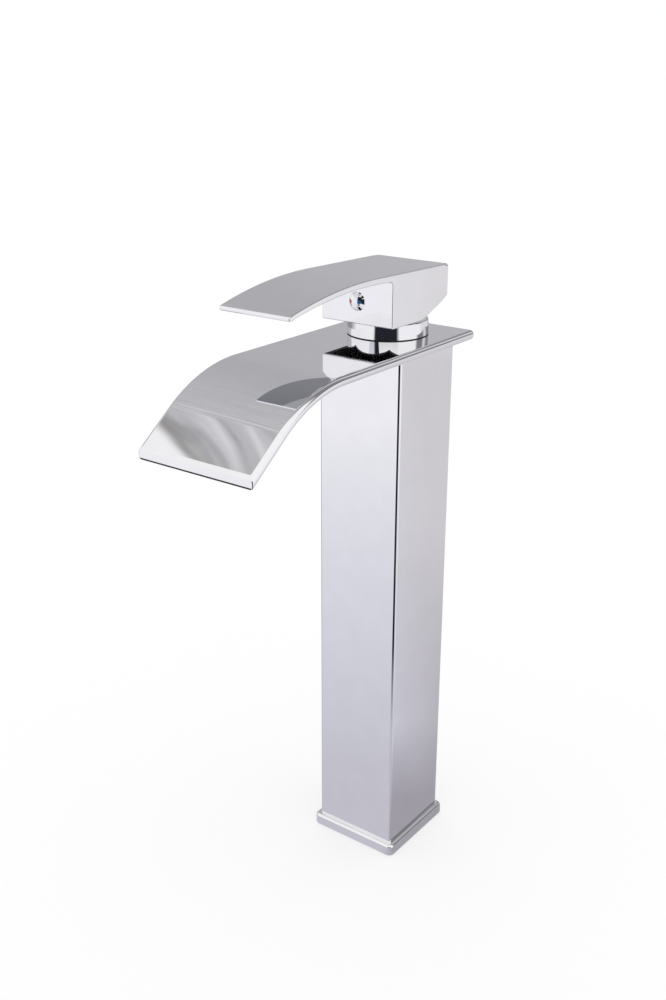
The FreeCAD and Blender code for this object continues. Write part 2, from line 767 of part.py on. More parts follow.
def make_flow_straightener():
    """Plastic comb in the channel behind the water slot, drawn flat, then tilted with the spout's end."""
    body = new_body("flow_straightener")
    width = "(channel_width - 2 * fit_gap)"
    height = f"({COVER_DEPTH} - plate_skin - 2 * braze_gap)"
    web = new_sketch(body, "XY_Plane", z="-comb_web")
    rear = "comb_setback + comb_length"
    add_rectangle(web, f"-{width} / 2", f"{width} / 2", "comb_setback", rear)
    pad(body, web, "comb_web")
    vane = new_sketch(body, "XY_Plane", z=f"-{height}")
    add_rectangle(vane, f"-{width} / 2", f"-{width} / 2 + comb_vane", "comb_setback", rear)
    first = pad(body, vane, height)
    row = body.newObject("PartDesign::LinearPattern", "vane_row")
    row.Originals = [first]
    row.Direction = (origin_feature(body, "X_Axis"), [""])
    bind(row, Length=f"{width} - comb_vane")
    row.Occurrences = int(value(f"{width} / comb_pitch")) + 1
    body.Tip = row
    body.Placement.Rotation = FreeCAD.Rotation(FreeCAD.Vector(1, 0, 0), value("spout_bend_angle"))
    bind(body, **{"Placement.Rotation.Angle": "spout_bend_angle"})
    tip_y, tip_z = spout_point("(plate_skin + braze_gap)", COVER_STRAIGHT)
    put(body, y=tip_y, z=tip_z)


# Collar and nut


def make_collar():
    """Slightly conical ring that screws on the neck and clamps the spout to the column."""
    body = new_body("collar")
    foot = f"{PLATE_TOP} + collar_gasket_height"
    ceiling = f"{COLLAR_TOP} - collar_top_wall"
    hole = "housing_neck_radius + running_gap"
    turn(body, [
        (COLLAR_BORE, foot),
        ("collar_radius", foot),
        ("collar_radius - collar_draft", COLLAR_TOP),
        (hole, COLLAR_TOP),
        (hole, ceiling),
        (COLLAR_BORE, ceiling),
    ])
    top, rim = value(COLLAR_TOP), value("collar_radius - collar_draft")
    round_edges(body, "collar_edge_radius",
                lambda middle, way: same(middle.z, top) and same(math.hypot(middle.x, middle.y), rim))


def make_collar_gasket():
    body = new_body("collar_gasket")
    turn(body, ring(f"{COLLAR_BORE} + collar_gasket_inset", "collar_radius - collar_gasket_inset",
                    PLATE_TOP, f"{PLATE_TOP} + collar_gasket_height"))


def make_retaining_nut():
    """Round nut in the neck, with four slots for its spanner, that holds the cartridge on its seat."""
    body = new_body("retaining_nut")
    top = f"({NECK_TOP} - fit_gap)"
    turn(body, ring("housing_neck_radius + fit_gap", "nut_radius", HOUSING_SHOULDER, top))
    slot = new_sketch(body, "XY_Plane", z=top)
    add_rectangle(slot, "0", "nut_radius", "-nut_slot_width / 2", "nut_slot_width / 2")
    repeat_round(body, pocket(body, slot, "nut_slot_depth"), NUT_SLOTS)


# Cartridge


def make_cartridge_base():
    """Foot of the cartridge with three ports, seal pockets and two locating pegs."""
    body = new_body("cartridge_base")
    disc = new_sketch(body, "XY_Plane", z=SEAT)
    add_circle(disc, "cartridge_radius")
    pad(body, disc, "cartridge_base_height")
    pegs = new_sketch(body, "XY_Plane", z=SEAT)
    add_pair(pegs, "peg_radius", "peg_x", "-peg_y")
    pad(body, pegs, "peg_length", reverse=True)
    ports = new_sketch(body, "XY_Plane", z=SEAT)
    add_pair(ports, "inlet_port_radius", "inlet_port_x", "-inlet_port_y")
    add_circle(ports, "outlet_port_radius", "0", "outlet_port_y")
    pocket(body, ports, "cartridge_base_height", reverse=True)
    pockets = new_sketch(body, "XY_Plane", z=SEAT)
    wall = "port_seal_width + braze_gap"
    add_pair(pockets, f"inlet_port_radius + {wall}", "inlet_port_x", "-inlet_port_y")
    add_circle(pockets, f"outlet_port_radius + {wall}", "0", "outlet_port_y")
    pocket(body, pockets, "port_seal_height", reverse=True)


def make_cartridge_port_seals():
    """Three rubber rings under the cartridge."""
    body = new_body("cartridge_port_seals", groups=True)
    sketch = new_sketch(body, "XY_Plane", z=SEAT)
    for wall in ("0", "port_seal_width"):
        add_pair(sketch, f"inlet_port_radius + {wall}", "inlet_port_x", "-inlet_port_y")
        add_circle(sketch, f"outlet_port_radius + {wall}", "0", "outlet_port_y")
    pad(body, sketch, "port_seal_height")


def make_cartridge_housing():
    body = new_body("cartridge_housing")
    turn(body, [
        (CHAMBER_RADIUS, DISC_FOOT),
        ("cartridge_radius", DISC_FOOT),
        ("cartridge_radius", HOUSING_SHOULDER),
        ("housing_neck_radius", HOUSING_SHOULDER),
        ("housing_neck_radius", HOUSING_TOP),
        (HOUSING_BORE, HOUSING_TOP),
        (HOUSING_BORE, CHAMBER_TOP),
        (CHAMBER_RADIUS, CHAMBER_TOP),
    ])


def make_fixed_ceramic_disc():
    body = new_body("fixed_ceramic_disc")
    sketch = new_sketch(body, "XY_Plane", z=DISC_FOOT)
    add_circle(sketch, "fixed_disc_radius")
    add_pair(sketch, "disc_inlet_radius", "disc_inlet_x", "-disc_inlet_y")
    add_circle(sketch, "disc_outlet_radius", "0", "disc_outlet_y")
    pad(body, sketch, "ceramic_disc_height")


def make_moving_ceramic_disc():
    """Sliding disc; the recess in its underside joins the ports as it moves forward."""
    body = new_body("moving_ceramic_disc")
    sketch = new_sketch(body, "XY_Plane", z=DISC_SPLIT)
    add_circle(sketch, "moving_disc_radius", "0", "moving_disc_offset")
    pad(body, sketch, "ceramic_disc_height")
    recess = new_sketch(body, "XY_Plane", z=DISC_SPLIT)
    add_rectangle(recess, "-mixing_recess_width / 2", "mixing_recess_width / 2",
                  "moving_disc_offset - mixing_recess_front", "moving_disc_offset + mixing_recess_rear")
    pocket(body, recess, "mixing_recess_depth", reverse=True)


def make_disc_driver():
    """Plastic slide on the moving disc, with flats for the rotor's rails and a window for the ball."""
    disc = primitive("Cylinder", "driver_disc", y="moving_disc_offset", z=DRIVER_FOOT,
                     Radius="moving_disc_radius", Height="driver_height")
    flats = block("driver_flats", "(2 * driver_flat)", "(2 * moving_disc_radius)", "driver_height",
                  y="moving_disc_offset", z=DRIVER_FOOT)
    window = block("driver_window", "(2 * (ball_radius + ball_gap))", "(2 * (ball_radius + ball_gap))",
                   "driver_height", z=DRIVER_FOOT)
    keep(cut("disc_driver", common("driver_blank", disc, flats), window), "disc_driver")


def make_cartridge_rotor():
    """Turning carrier: flange and rails in the chamber, a neck with a seal groove, a slot for the stem."""
    body = new_body("cartridge_rotor")
    groove = "rotor_radius - 2 * rotor_seal_radius"
    groove_low = f"{ROTOR_SEAL} - rotor_seal_radius - fit_gap"
    groove_high = f"{ROTOR_SEAL} + rotor_seal_radius + fit_gap"
    turn(body, [
        ("0", ROTOR_FOOT),
        ("rotor_flange_radius", ROTOR_FOOT),
        ("rotor_flange_radius", ROTOR_SHOULDER),
        ("rotor_radius", ROTOR_SHOULDER),
        ("rotor_radius", groove_low),
        (groove, groove_low),
        (groove, groove_high),
        ("rotor_radius", groove_high),
        ("rotor_radius", ROTOR_TOP),
        ("0", ROTOR_TOP),
    ])
    rails = new_sketch(body, "XY_Plane", z=ROTOR_FOOT)
    inner, outer = "(driver_flat + guide_gap)", "(driver_flat + guide_gap + rail_width)"
    for left, right in ((f"-{outer}", f"-{inner}"), (inner, outer)):
        add_rectangle(rails, left, right, "-rail_length / 2", "rail_length / 2")
    pad(body, rails, "driver_height", reverse=True)
    slot = new_sketch(body, "YZ_Plane")
    half = "(stem_blade_thickness / 2 / cos(tilt_range) + slot_gap)"
    front_foot = f"-({half} + ({PIVOT} - {ROTOR_FOOT}) * tan(tilt_range))"
    rear_top = f"{half} + rotor_rise * tan(tilt_range)"
    add_outline(slot, [
        (f"-{half}", ROTOR_TOP),
        (f"-{half}", PIVOT),
        (front_foot, ROTOR_FOOT),
        (half, ROTOR_FOOT),
        (half, PIVOT),
        (rear_top, ROTOR_TOP),
    ])
    pocket(body, slot, "stem_blade_width + 2 * fit_gap", side_type="Symmetric")
    pin_hole = new_sketch(body, "YZ_Plane")
    add_circle(pin_hole, "pin_radius", "0", PIVOT)
    pocket(body, pin_hole, "2 * rotor_radius", side_type="Symmetric")


def make_rotor_seal():
    keep(primitive("Torus", "rotor_seal", z=ROTOR_SEAL, Radius1="rotor_radius - rotor_seal_radius",
                   Radius2="rotor_seal_radius"), "rotor_seal")


def make_pivot_pin():
    half = "(rotor_radius - running_gap)"
    keep(primitive("Cylinder", "pivot_pin", ALONG_X, x=f"-{half}", z=PIVOT,
                   Radius="pin_radius", Height=f"2 * {half}"), "pivot_pin")


# Handle


def make_lever_stem():
    """Steel stem: square top in the handle, blade on the pin, ball end in the driver."""
    shoulder = f"({HANDLE_FOOT} - running_gap)"
    blade_foot = f"({PIVOT} - stem_blade_drop)"
    square = block("stem_top", "stem_square", "stem_square", f"stem_rise + {HANDLE_FOOT} - {shoulder}",
                   z=shoulder)
    blade = block("stem_blade", "stem_blade_width", "stem_blade_thickness", f"{shoulder} - {blade_foot}",
                  z=blade_foot)
    neck = primitive("Cylinder", "stem_neck", z=BALL, Radius="stem_neck_radius",
                     Height=f"{blade_foot} - {BALL}")
    ball = primitive("Sphere", "stem_ball", z=BALL, Radius="ball_radius")
    hole = primitive("Cylinder", "stem_pin_hole", ALONG_X, x="-stem_blade_width", z=PIVOT,
                     Radius="pin_radius + running_fit", Height="2 * stem_blade_width")
    keep(cut("lever_stem", join("stem_blank", square, blade, neck, ball), hole), "lever_stem")


LEVER_SLOPE = "tan(lever_rise_angle)"
HUB_TOP = f"({HANDLE_FOOT} + hub_rear_height)"
LEVER_BEND_Z = f"({HUB_TOP} + (hub_rear + lever_flat) * {LEVER_SLOPE})"
LEVER_CREST = "(lever_flat + lever_radius * sin(lever_rise_angle))"
LEVER_TIP_Z = (f"({LEVER_BEND_Z} - lever_radius * cos(lever_rise_angle)"
               f" + sqrt(lever_radius ^ 2 - (lever_reach - {LEVER_CREST}) ^ 2))")
LEVER_ROOT_Z = f"({HUB_TOP} + (hub_rear + hub_front) * {LEVER_SLOPE} - lever_thickness)"
LEVER_TAPER = "((handle_width - lever_tip_width) / 2 / (hub_rear + lever_reach))"


def handle_half(y):
    """Half the handle's width at y: full at the rear, less towards the lever's tip."""
    return f"(handle_width / 2 - (hub_rear - ({y})) * {LEVER_TAPER})"


def make_handle():
    """Lever and hub in one casting: hollow hub with a socketed boss, and a thin arched lever."""
    body = new_body("handle")
    side = new_sketch(body, "YZ_Plane")
    add_outline(side, [
        ("hub_rear", HUB_TOP),
        ("-lever_flat", LEVER_BEND_Z),
        ("-lever_reach", LEVER_TIP_Z),
        ("-lever_reach", f"{LEVER_TIP_Z} - lever_tip_thickness"),
        ("-hub_front", LEVER_ROOT_Z),
        ("-hub_front", HANDLE_FOOT),
        ("hub_chamfer_start", HANDLE_FOOT),
        ("hub_rear", f"{HANDLE_FOOT} + hub_chamfer_rise"),
    ], {1: ("lever_radius", 1), 3: ("lever_radius", -1)})
    pad(body, side, "handle_width + 2 * hub_wall", side_type="Symmetric")
    flanks = new_sketch(body, "XY_Plane")
    front, rear = "(-lever_reach - hub_wall)", "(hub_rear + hub_wall)"
    outer = "(handle_width / 2 + 2 * hub_wall)"
    for hand in ("", "-"):
        add_outline(flanks, [(f"{hand}{handle_half(front)}", front), (f"{hand}{outer}", front),
                             (f"{hand}{outer}", rear), (f"{hand}{handle_half(rear)}", rear)])
    pocket(body, flanks, f"{LEVER_BEND_Z} + lever_thickness", reverse=True)
    root_y, root_z = value("-hub_front"), value(LEVER_ROOT_Z)
    round_edges(body, "lever_root_radius", lambda middle, way: (
        is_along(way, "x") and same(middle.y, root_y) and same(middle.z, root_z)))
    rear_y, foot_z = value("hub_rear"), value(HANDLE_FOOT)
    edge_radius = f"min(handle_edge_radius; {LEVER_ROUND_SHARE} * lever_tip_thickness)"
    round_edges(body, edge_radius, lambda middle, way: is_along(way, "x") and (
        same(middle.y, rear_y) or (same(middle.y, root_y) and same(middle.z, foot_z))))
    tip_y = value("-lever_reach")
    round_edges(body, edge_radius,
                lambda middle, way: (same(abs(middle.x), value(handle_half(middle.y)))
                                     and not same(middle.y, tip_y)))
    cavity = new_sketch(body, "XY_Plane", z=HANDLE_FOOT)
    inside = f"({handle_half('-hub_front')} - hub_wall)"
    add_rectangle(cavity, f"-{inside}", inside, "hub_wall - hub_front", "hub_cavity_rear")
    pocket(body, cavity, "hub_cavity_depth", reverse=True)
    boss = new_sketch(body, "XY_Plane", z=f"{HANDLE_FOOT} + boss_setback")
    add_circle(boss, "boss_radius")
    pad(body, boss, "hub_cavity_depth - boss_setback")
    screw_boss = new_sketch(body, "XZ_Plane")
    add_circle(screw_boss, "screw_boss_radius", "0", INDEX)
    pad(body, screw_boss, "hub_front - hub_wall")
    socket = new_sketch(body, "XY_Plane", z=HANDLE_FOOT)
    add_square(socket, "(stem_square + 2 * fit_gap)")
    pocket(body, socket, "stem_rise + fit_gap", reverse=True)
    screw_hole = new_sketch(body, "XZ_Plane")
    add_circle(screw_hole, "grub_radius + braze_gap", "0", INDEX)
    pocket(body, screw_hole, "hub_front", reverse=True)
    plug_hole = new_sketch(body, "XZ_Plane", z="hub_front")
    add_circle(plug_hole, "index_shank_radius + braze_gap", "0", INDEX)
    pocket(body, plug_hole, "index_shank_length + fit_gap")


def make_grub_screw():
    """Hexagon-socket screw that presses on the stem from the front."""
    rear = "-stem_square / 2"
    thread = primitive("Cylinder", "grub_thread", ALONG_FRONT, y=rear, z=INDEX,
                       Radius="grub_radius", Height="grub_length")
    hexagon = primitive("Prism", "grub_hexagon", ALONG_FRONT,
                        y=f"{rear} - grub_length + grub_hex_depth", z=INDEX,
                        Circumradius="grub_hex_radius", Height="grub_hex_depth")
    keep(cut("grub_screw", thread, hexagon), "grub_screw")


DOME_RADIUS = "((index_radius ^ 2 + index_dome ^ 2) / (2 * index_dome))"
DOME_CENTRE = f"({DOME_RADIUS} - hub_front - index_dome)"


def make_index_plug():
    """Domed plug over the grub screw, with two inlaid dots: hot on the left, cold on the right."""
    sphere = primitive("Sphere", "plug_sphere", y=DOME_CENTRE, z=INDEX, Radius=DOME_RADIUS)
    front = primitive("Cylinder", "plug_front", ALONG_FRONT, y="-hub_front", z=INDEX,
                      Radius="index_radius", Height="index_dome")
    shank = primitive("Cylinder", "plug_shank", ALONG_FRONT, y="index_shank_length - hub_front", z=INDEX,
                      Radius="index_shank_radius", Height="index_shank_length")
    blank = join("plug_blank", common("plug_dome", sphere, front), shank)
    dot_y = "index_dot_depth - hub_front - index_dome"
    drills = []
    for label, x in (("index_dot_hot", "-index_dot_offset"), ("index_dot_cold", "index_dot_offset")):
        drills.append(primitive("Cylinder", f"{label}_drill", ALONG_FRONT, x=x, y=dot_y, z=INDEX,
                                Radius="index_dot_radius", Height="index_dot_depth"))
        inlay = primitive("Cylinder", f"{label}_inlay", ALONG_FRONT, x=x, y=dot_y, z=INDEX,
                          Radius="index_dot_radius - braze_gap", Height="index_dot_depth")
        ball = primitive("Sphere", f"{label}_sphere", y=DOME_CENTRE, z=INDEX, Radius=DOME_RADIUS)
        keep(common(label, inlay, ball), label)
    keep(cut("index_plug", blank, join("plug_drills", *drills)), "index_plug")


make_base_flange()
make_base_gasket()
make_base_screws()
make_column_tube()
make_inlet_block()
make_riser_tube("hot_riser_tube", "-inlet_offset")
make_riser_tube("cold_riser_tube", "inlet_offset")
make_riser_seals()
make_valve_block()
make_passage_plugs()
make_spout_gasket()
make_spout_plate()
make_spout_channel_cover()
make_flow_straightener()
make_collar()
make_collar_gasket()
make_retaining_nut()
make_cartridge_base()
make_cartridge_port_seals()
make_cartridge_housing()
make_fixed_ceramic_disc()
make_moving_ceramic_disc()
make_disc_driver()
make_cartridge_rotor()
make_rotor_seal()
make_pivot_pin()
make_lever_stem()
make_handle()
make_grub_screw()
make_index_plug()
doc.recompute()

for thing in doc.Objects:
    if "Invalid" in thing.State or "Error" in thing.State:
        raise RuntimeError(f"{thing.Label} failed: {thing.State}")
for thing in sub_parts:
    if thing.Shape.isNull() or not thing.Shape.isValid() or not thing.Shape.Solids:
        raise RuntimeError(f"{thing.Label} has no sound solid")

os.makedirs("parts", exist_ok=True)
for thing in sub_parts:
    thing.Shape.exportStep(f"parts/{thing.Label}.step")
    box = thing.Shape.BoundBox
    print(f"{thing.Label}: {len(thing.Shape.Solids)} solid(s), {thing.Shape.Volume:.0f} mm3, "
          f"z {box.ZMin:.2f} to {box.ZMax:.2f}")
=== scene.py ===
import json

import bpy
import numpy as np
from mathutils import Euler, Matrix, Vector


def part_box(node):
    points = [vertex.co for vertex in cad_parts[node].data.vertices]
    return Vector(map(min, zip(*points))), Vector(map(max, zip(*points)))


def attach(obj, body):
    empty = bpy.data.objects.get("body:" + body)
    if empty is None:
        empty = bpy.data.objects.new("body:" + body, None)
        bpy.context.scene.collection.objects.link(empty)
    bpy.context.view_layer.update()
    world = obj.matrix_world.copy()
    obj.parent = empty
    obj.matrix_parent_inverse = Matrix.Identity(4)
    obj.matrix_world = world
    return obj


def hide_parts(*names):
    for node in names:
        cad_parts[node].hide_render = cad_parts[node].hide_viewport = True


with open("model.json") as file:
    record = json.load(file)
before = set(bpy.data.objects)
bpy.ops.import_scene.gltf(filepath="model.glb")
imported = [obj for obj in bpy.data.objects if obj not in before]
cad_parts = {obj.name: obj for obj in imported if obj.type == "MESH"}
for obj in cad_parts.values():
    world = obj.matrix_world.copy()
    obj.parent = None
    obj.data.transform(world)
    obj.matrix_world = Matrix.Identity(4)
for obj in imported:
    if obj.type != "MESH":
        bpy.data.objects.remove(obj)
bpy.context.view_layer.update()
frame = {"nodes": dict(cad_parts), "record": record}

MM = 0.001
QUARTER = np.pi / 2
WELD = 1e-7

# Sizes in metres that the frame's boxes don't give: foot and column
COLUMN_WALL = 2.5 * MM
COLUMN_CORNER = 1.5 * MM
FOOT_CORNER = 3.0 * MM
FOOT_EDGE = 1.9 * MM
FOOT_UNDER = 1.2 * MM
FOOT_BORE = 16.55 * MM
FOOT_LIFT = 0.03 * MM

# Spout plate and its channel cover
PLATE_THICKNESS = 4.4 * MM
PLATE_CORNER = 2.4 * MM
PLATE_EDGE = 2.0 * MM
SPOUT_FLAT = 73.2 * MM
SPOUT_BEND = 70.0 * MM
SPOUT_TURN = np.radians(36.5)
SPOUT_REACH = 132.6 * MM
LIP_EDGE = 3.0 * MM
LIP_UNDER = 0.6 * MM
LIP_CORNER = 0.6 * MM
LIP_CORNER_RUN = 0.66 * MM
LIP_WALL = 1.6 * MM
# How far down the lip the near-black painted shade begins
LIP_SHADE_DEPTH = 3.1 * MM
SLOT_WIDTH = 2.2 * MM
NECK_HOLE = 16.1 * MM
NECK_MARGIN = 4.0 * MM
CHANNEL_HALF = 26.0 * MM
CHANNEL_START = 22.0 * MM
CHANNEL_ROOF = 1.3 * MM
COVER_THICKNESS = 1.3 * MM
COVER_GAP = 0.05 * MM

# Collar
COLLAR_DRAFT = 0.4 * MM
COLLAR_EDGE = 0.5 * MM
COLLAR_BORE = 10.6 * MM
COLLAR_ROOF = 1.4 * MM
COLLAR_INSIDE = 16.1 * MM

# Handle
HANDLE_HALF = 19.9 * MM
TIP_HALF = 18.25 * MM
HANDLE_EDGE = 0.9 * MM
FLANK_EDGE = 0.45 * MM
REAR_EDGE = 1.5 * MM
REAR_GROWTH = 3.0 * MM
ROOT_FILLET = 1.2 * MM
HUB_FRONT = -24.7 * MM
HUB_RISE = 22.9 * MM
HUB_CHAMFER_START = -0.9 * MM
HUB_CHAMFER_RISE = 8.1 * MM
CAVITY_HALF = 16.76 * MM
CAVITY_FRONT = -22.2 * MM
CAVITY_REAR = 9.0 * MM
CAVITY_HEIGHT = 18.0 * MM
LEVER_FLAT = -36.0 * MM
LEVER_SLOPE = np.radians(1.4)
LEVER_RADIUS = 220.0 * MM
LEVER_ROOT = 3.2 * MM
LEVER_TIP = 2.2 * MM
BOSS_RADIUS = 8.0 * MM
BOSS_BORE = 5.85 * MM
BOSS_SETBACK = 3.0 * MM
SCREW_BOSS_RADIUS = 5.0 * MM
SCREW_BOSS_BORE = 2.6 * MM
SCREW_BOSS_END = -7.6 * MM
BOSS_SUNK = 0.3 * MM

# Index plug and its dots
PLUG_RADIUS = 4.4 * MM
PLUG_SHANK = 3.0 * MM
DOT_RADIUS = 1.0 * MM
DOT_RISE = 0.12 * MM
DOT_DIP = 0.075 * MM
DOT_DEPTH = 0.3 * MM


class Skin:
    """The skin of one piece, gathered from grids and flat faces and welded where their points meet."""

    def __init__(self):
        self.points, self.normals, self.faces, self.coats = [], [], [], []
        self.count, self.coat = 0, 0

    def take(self, points, normals, faces):
        """Keep points with a normal each, and faces as rows of point numbers, turned to suit the normals."""
        points = points.reshape(-1, 3)
        normals = np.broadcast_to(normals, points.shape)
        ring = points[faces]
        facing = np.cross(ring, np.roll(ring, -1, axis=1)).sum(axis=1)
        if np.sum(facing * normals[faces].sum(axis=1)) < 0:
            faces = faces[:, ::-1]
        self.points.append(points)
        self.normals.append(normals)
        self.faces.append(faces + self.count)
        self.coats.append(np.full(len(faces), self.coat))
        self.count += len(points)

    def grid(self, points, normals, wrap=False):
        """Quads between the neighbours of a grid of points; wrap joins the last column to the first."""
        rows, columns = points.shape[:2]
        number = np.arange(rows * columns).reshape(rows, columns)
        if wrap:
            number = np.hstack((number, number[:, :1]))
        quads = np.stack((number[:-1, :-1], number[:-1, 1:], number[1:, 1:], number[1:, :-1]), axis=-1)
        self.take(points, np.broadcast_to(normals, points.shape).reshape(-1, 3), quads.reshape(-1, 4))

    def flat(self, points, normal):
        """One flat face round a ring of points."""
        self.take(points, np.array(normal, float), np.arange(len(points))[None])

    def piece(self, name, body, slot, materials, cad_node):
        """Weld the points, drop corners that fall together, and make the object that replaces the CAD node."""
        points, normals = np.concatenate(self.points), np.concatenate(self.normals)
        _, first, weld = np.unique(np.round(points / WELD).astype(np.int64), axis=0,
                                   return_index=True, return_inverse=True)
        weld = weld.reshape(-1)
        corners, sizes, coats = [], [], []
        for block, coat in zip(self.faces, self.coats):
            kept = weld[block] != np.roll(weld[block], -1, axis=1)
            whole = kept.sum(axis=1) > 2
            corners.append(block[whole][kept[whole]])
            sizes.append(kept[whole].sum(axis=1))
            coats.append(coat[whole])
        corners, sizes = np.concatenate(corners), np.concatenate(sizes)
        mesh = bpy.data.meshes.new(name)
        mesh.vertices.add(len(first))
        mesh.vertices.foreach_set("co", points[first].ravel())
        mesh.loops.add(len(corners))
        mesh.loops.foreach_set("vertex_index", weld[corners])
        mesh.polygons.add(len(sizes))
        mesh.polygons.foreach_set("loop_start", np.cumsum(sizes) - sizes)
        mesh.update(calc_edges=True)
        mesh.normals_split_custom_set(normals[corners].tolist())
        for material in materials:
            mesh.materials.append(material)
        mesh.polygons.foreach_set("material_index", np.concatenate(coats))
        made = bpy.data.objects.new(name, mesh)
        bpy.context.scene.collection.objects.link(made)
        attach(made, body)
        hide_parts(cad_node)


def line(start, end):
    """A straight stretch of outline: its two ends, with the normal on the right of the way along."""
    ends = np.array((start, end), float)
    way = (ends[1] - ends[0]) / np.linalg.norm(ends[1] - ends[0])
    return ends, np.tile((way[1], -way[0]), (2, 1))


def arc(centre, radius, start, end, steps=12):
    """A round stretch: centre plus radius times cosine and sine of even angles; a falling angle is hollow."""
    angle = np.linspace(start, end, steps + 1)
    out = np.column_stack((np.cos(angle), np.sin(angle)))
    return np.array(centre) + radius * out, out * np.sign(end - start)


def outline(*stretches):
    """Stretches joined end to end: all their points and all their normals."""
    return (np.concatenate([points for points, _ in stretches]),
            np.concatenate([normals for _, normals in stretches]))


def rounded_square(half, radius):
    """A square with round corners: four quarter circles about the corners of a smaller square."""
    core = half - radius
    return outline(arc((core, core), radius, 0, QUARTER),
                   arc((-core, core), radius, QUARTER, 2 * QUARTER),
                   arc((-core, -core), radius, 2 * QUARTER, 3 * QUARTER),
                   arc((core, -core), radius, 3 * QUARTER, 4 * QUARTER))


def edge_rings(low, high, low_radius, high_radius, steps=8):
    """A wall with round edges, ring by ring: inset r(1 - cos t), level r(1 - sin t) off the end, tilt t.

    A radius is one number, or one for each point of the outline."""
    above = np.linspace(0, QUARTER, steps + 1)[:, None]
    below = above - QUARTER
    inset = np.concatenate((low_radius * (1 - np.cos(below)), high_radius * (1 - np.cos(above))))
    level = np.concatenate((low + low_radius * (1 + np.sin(below)), high - high_radius * (1 - np.sin(above))))
    return inset, level, np.concatenate((below, above))


def round_wall(side, rings):
    """The wall of a slab: each ring is the outline moved in by its inset, with normals tipped by its tilt."""
    points, normals = side
    inset, level, tilt = (ring[..., None] for ring in rings)
    flat = points - inset * normals
    up = np.ones(flat.shape[:2] + (1,))
    return (np.concatenate((flat, level * up), axis=2),
            np.concatenate((np.cos(tilt) * normals, np.sin(tilt) * up), axis=2))


def lifted(points, level):
    """A ring of flat points at one level."""
    return np.column_stack((points, np.full(len(points), level)))


def bored_block(side, rings, bore):
    """A block with a hole: the round wall, the top in to the bore, the bore down and the foot out again."""
    skin = Skin()
    wall, normals = round_wall(side, rings)
    skin.grid(wall, normals, wrap=True)
    high, low = lifted(bore, wall[-1, 0, 2]), lifted(bore, wall[0, 0, 2])
    skin.grid(np.stack((wall[-1], high)), (0, 0, 1), wrap=True)
    skin.grid(np.stack((high, low)), lifted(-side[1], 0), wrap=True)
    skin.grid(np.stack((low, wall[0])), (0, 0, -1), wrap=True)
    return skin


def turned(skin, profile, place, steps=192):
    """A profile of radius and height turned about its axis: radius times cosine and sine of even angles.

    place puts points in place when its second argument is 1, and only turns directions when it is 0."""
    (radius, height), (out, up) = profile[0].T[..., None], profile[1].T[..., None]
    angle = np.arange(steps) * 4 * QUARTER / steps
    across, even = np.stack((np.cos(angle), np.sin(angle))), np.ones(steps)
    skin.grid(place(np.stack((radius * across[0], radius * across[1], height * even), axis=-1), 1),
              place(np.stack((out * across[0], out * across[1], up * even), axis=-1), 0), wrap=True)


def turned_tube(skin, radius, bore, low, high, place):
    """A plain tube, turned: up the outside, in over the top, down the bore and out below."""
    turned(skin, outline(line((radius, low), (radius, high)), line((radius, high), (bore, high)),
                         line((bore, high), (bore, low)), line((bore, low), (radius, low))), place, steps=64)


def upright(points, _):
    """The place of a piece turned about the column's axis."""
    return points


def foot_skin():
    """The foot plate: a rounded square slab with round upper and lower edges, bored for the inlet spigot."""
    low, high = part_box("base_flange")
    side = rounded_square(high[0], FOOT_CORNER)
    bore = FOOT_BORE * side[0] / np.linalg.norm(side[0], axis=1, keepdims=True)
    return bored_block(side, edge_rings(low[2] + FOOT_LIFT, high[2], FOOT_UNDER, FOOT_EDGE), bore)


def column_skin():
    """The column: a square tube, its bore the outline clipped to the inside of the walls."""
    low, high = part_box("column_tube")
    side = rounded_square(high[0], COLUMN_CORNER)
    inside = high[0] - COLUMN_WALL
    return bored_block(side, edge_rings(low[2], high[2], 0, 0, steps=1), np.clip(side[0], -inside, inside))


def collar_skin():
    """The collar: a turned cap with a drafted wall, a round top edge and a hole for the stem."""
    low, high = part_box("collar")
    foot, top, wide = low[2], high[2], high[0]
    slope = np.arctan2(COLLAR_DRAFT, top - foot)
    edge_z = top - COLLAR_EDGE
    touch_z = edge_z + COLLAR_EDGE * np.sin(slope)
    edge_r = wide - (touch_z - foot) * np.tan(slope) - COLLAR_EDGE * np.cos(slope)
    edge = arc((edge_r, edge_z), COLLAR_EDGE, slope, QUARTER)
    roof = top - COLLAR_ROOF
    skin = Skin()
    turned(skin, outline(line((wide, foot), edge[0][0]), edge, line(edge[0][-1], (COLLAR_BORE, top)),
                         line((COLLAR_BORE, top), (COLLAR_BORE, roof)),
                         line((COLLAR_BORE, roof), (COLLAR_INSIDE, roof)),
                         line((COLLAR_INSIDE, roof), (COLLAR_INSIDE, foot)),
                         line((COLLAR_INSIDE, foot), (wide, foot))), upright)
    return skin


# The spout's places along its top, measured from the plate's rear edge
PLATE_HALF, PLATE_REAR, PLATE_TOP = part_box("spout_plate")[1]
FLAT_RUN = PLATE_REAR + SPOUT_FLAT
BEND_RUN = FLAT_RUN + SPOUT_BEND * SPOUT_TURN
FALL_RUN = (SPOUT_REACH - SPOUT_FLAT - SPOUT_BEND * np.sin(SPOUT_TURN)) / np.cos(SPOUT_TURN)
SPOUT_RUN = BEND_RUN + FALL_RUN
LIP_TANGENT = LIP_EDGE * np.tan((QUARTER - SPOUT_TURN) / 2)
LIP_DEPTH = LIP_EDGE * (1 - np.sin(SPOUT_TURN))
UNDER_DEPTH = PLATE_THICKNESS - LIP_UNDER * (1 + np.sin(SPOUT_TURN))
SLOT_FAR = SPOUT_RUN - LIP_WALL
SLOT_NEAR = SLOT_FAR - SLOT_WIDTH
CHANNEL_RUN = PLATE_REAR + CHANNEL_START
NECK_FAR = PLATE_REAR + NECK_HOLE + NECK_MARGIN
NECK_NEAR = PLATE_REAR - NECK_HOLE - NECK_MARGIN
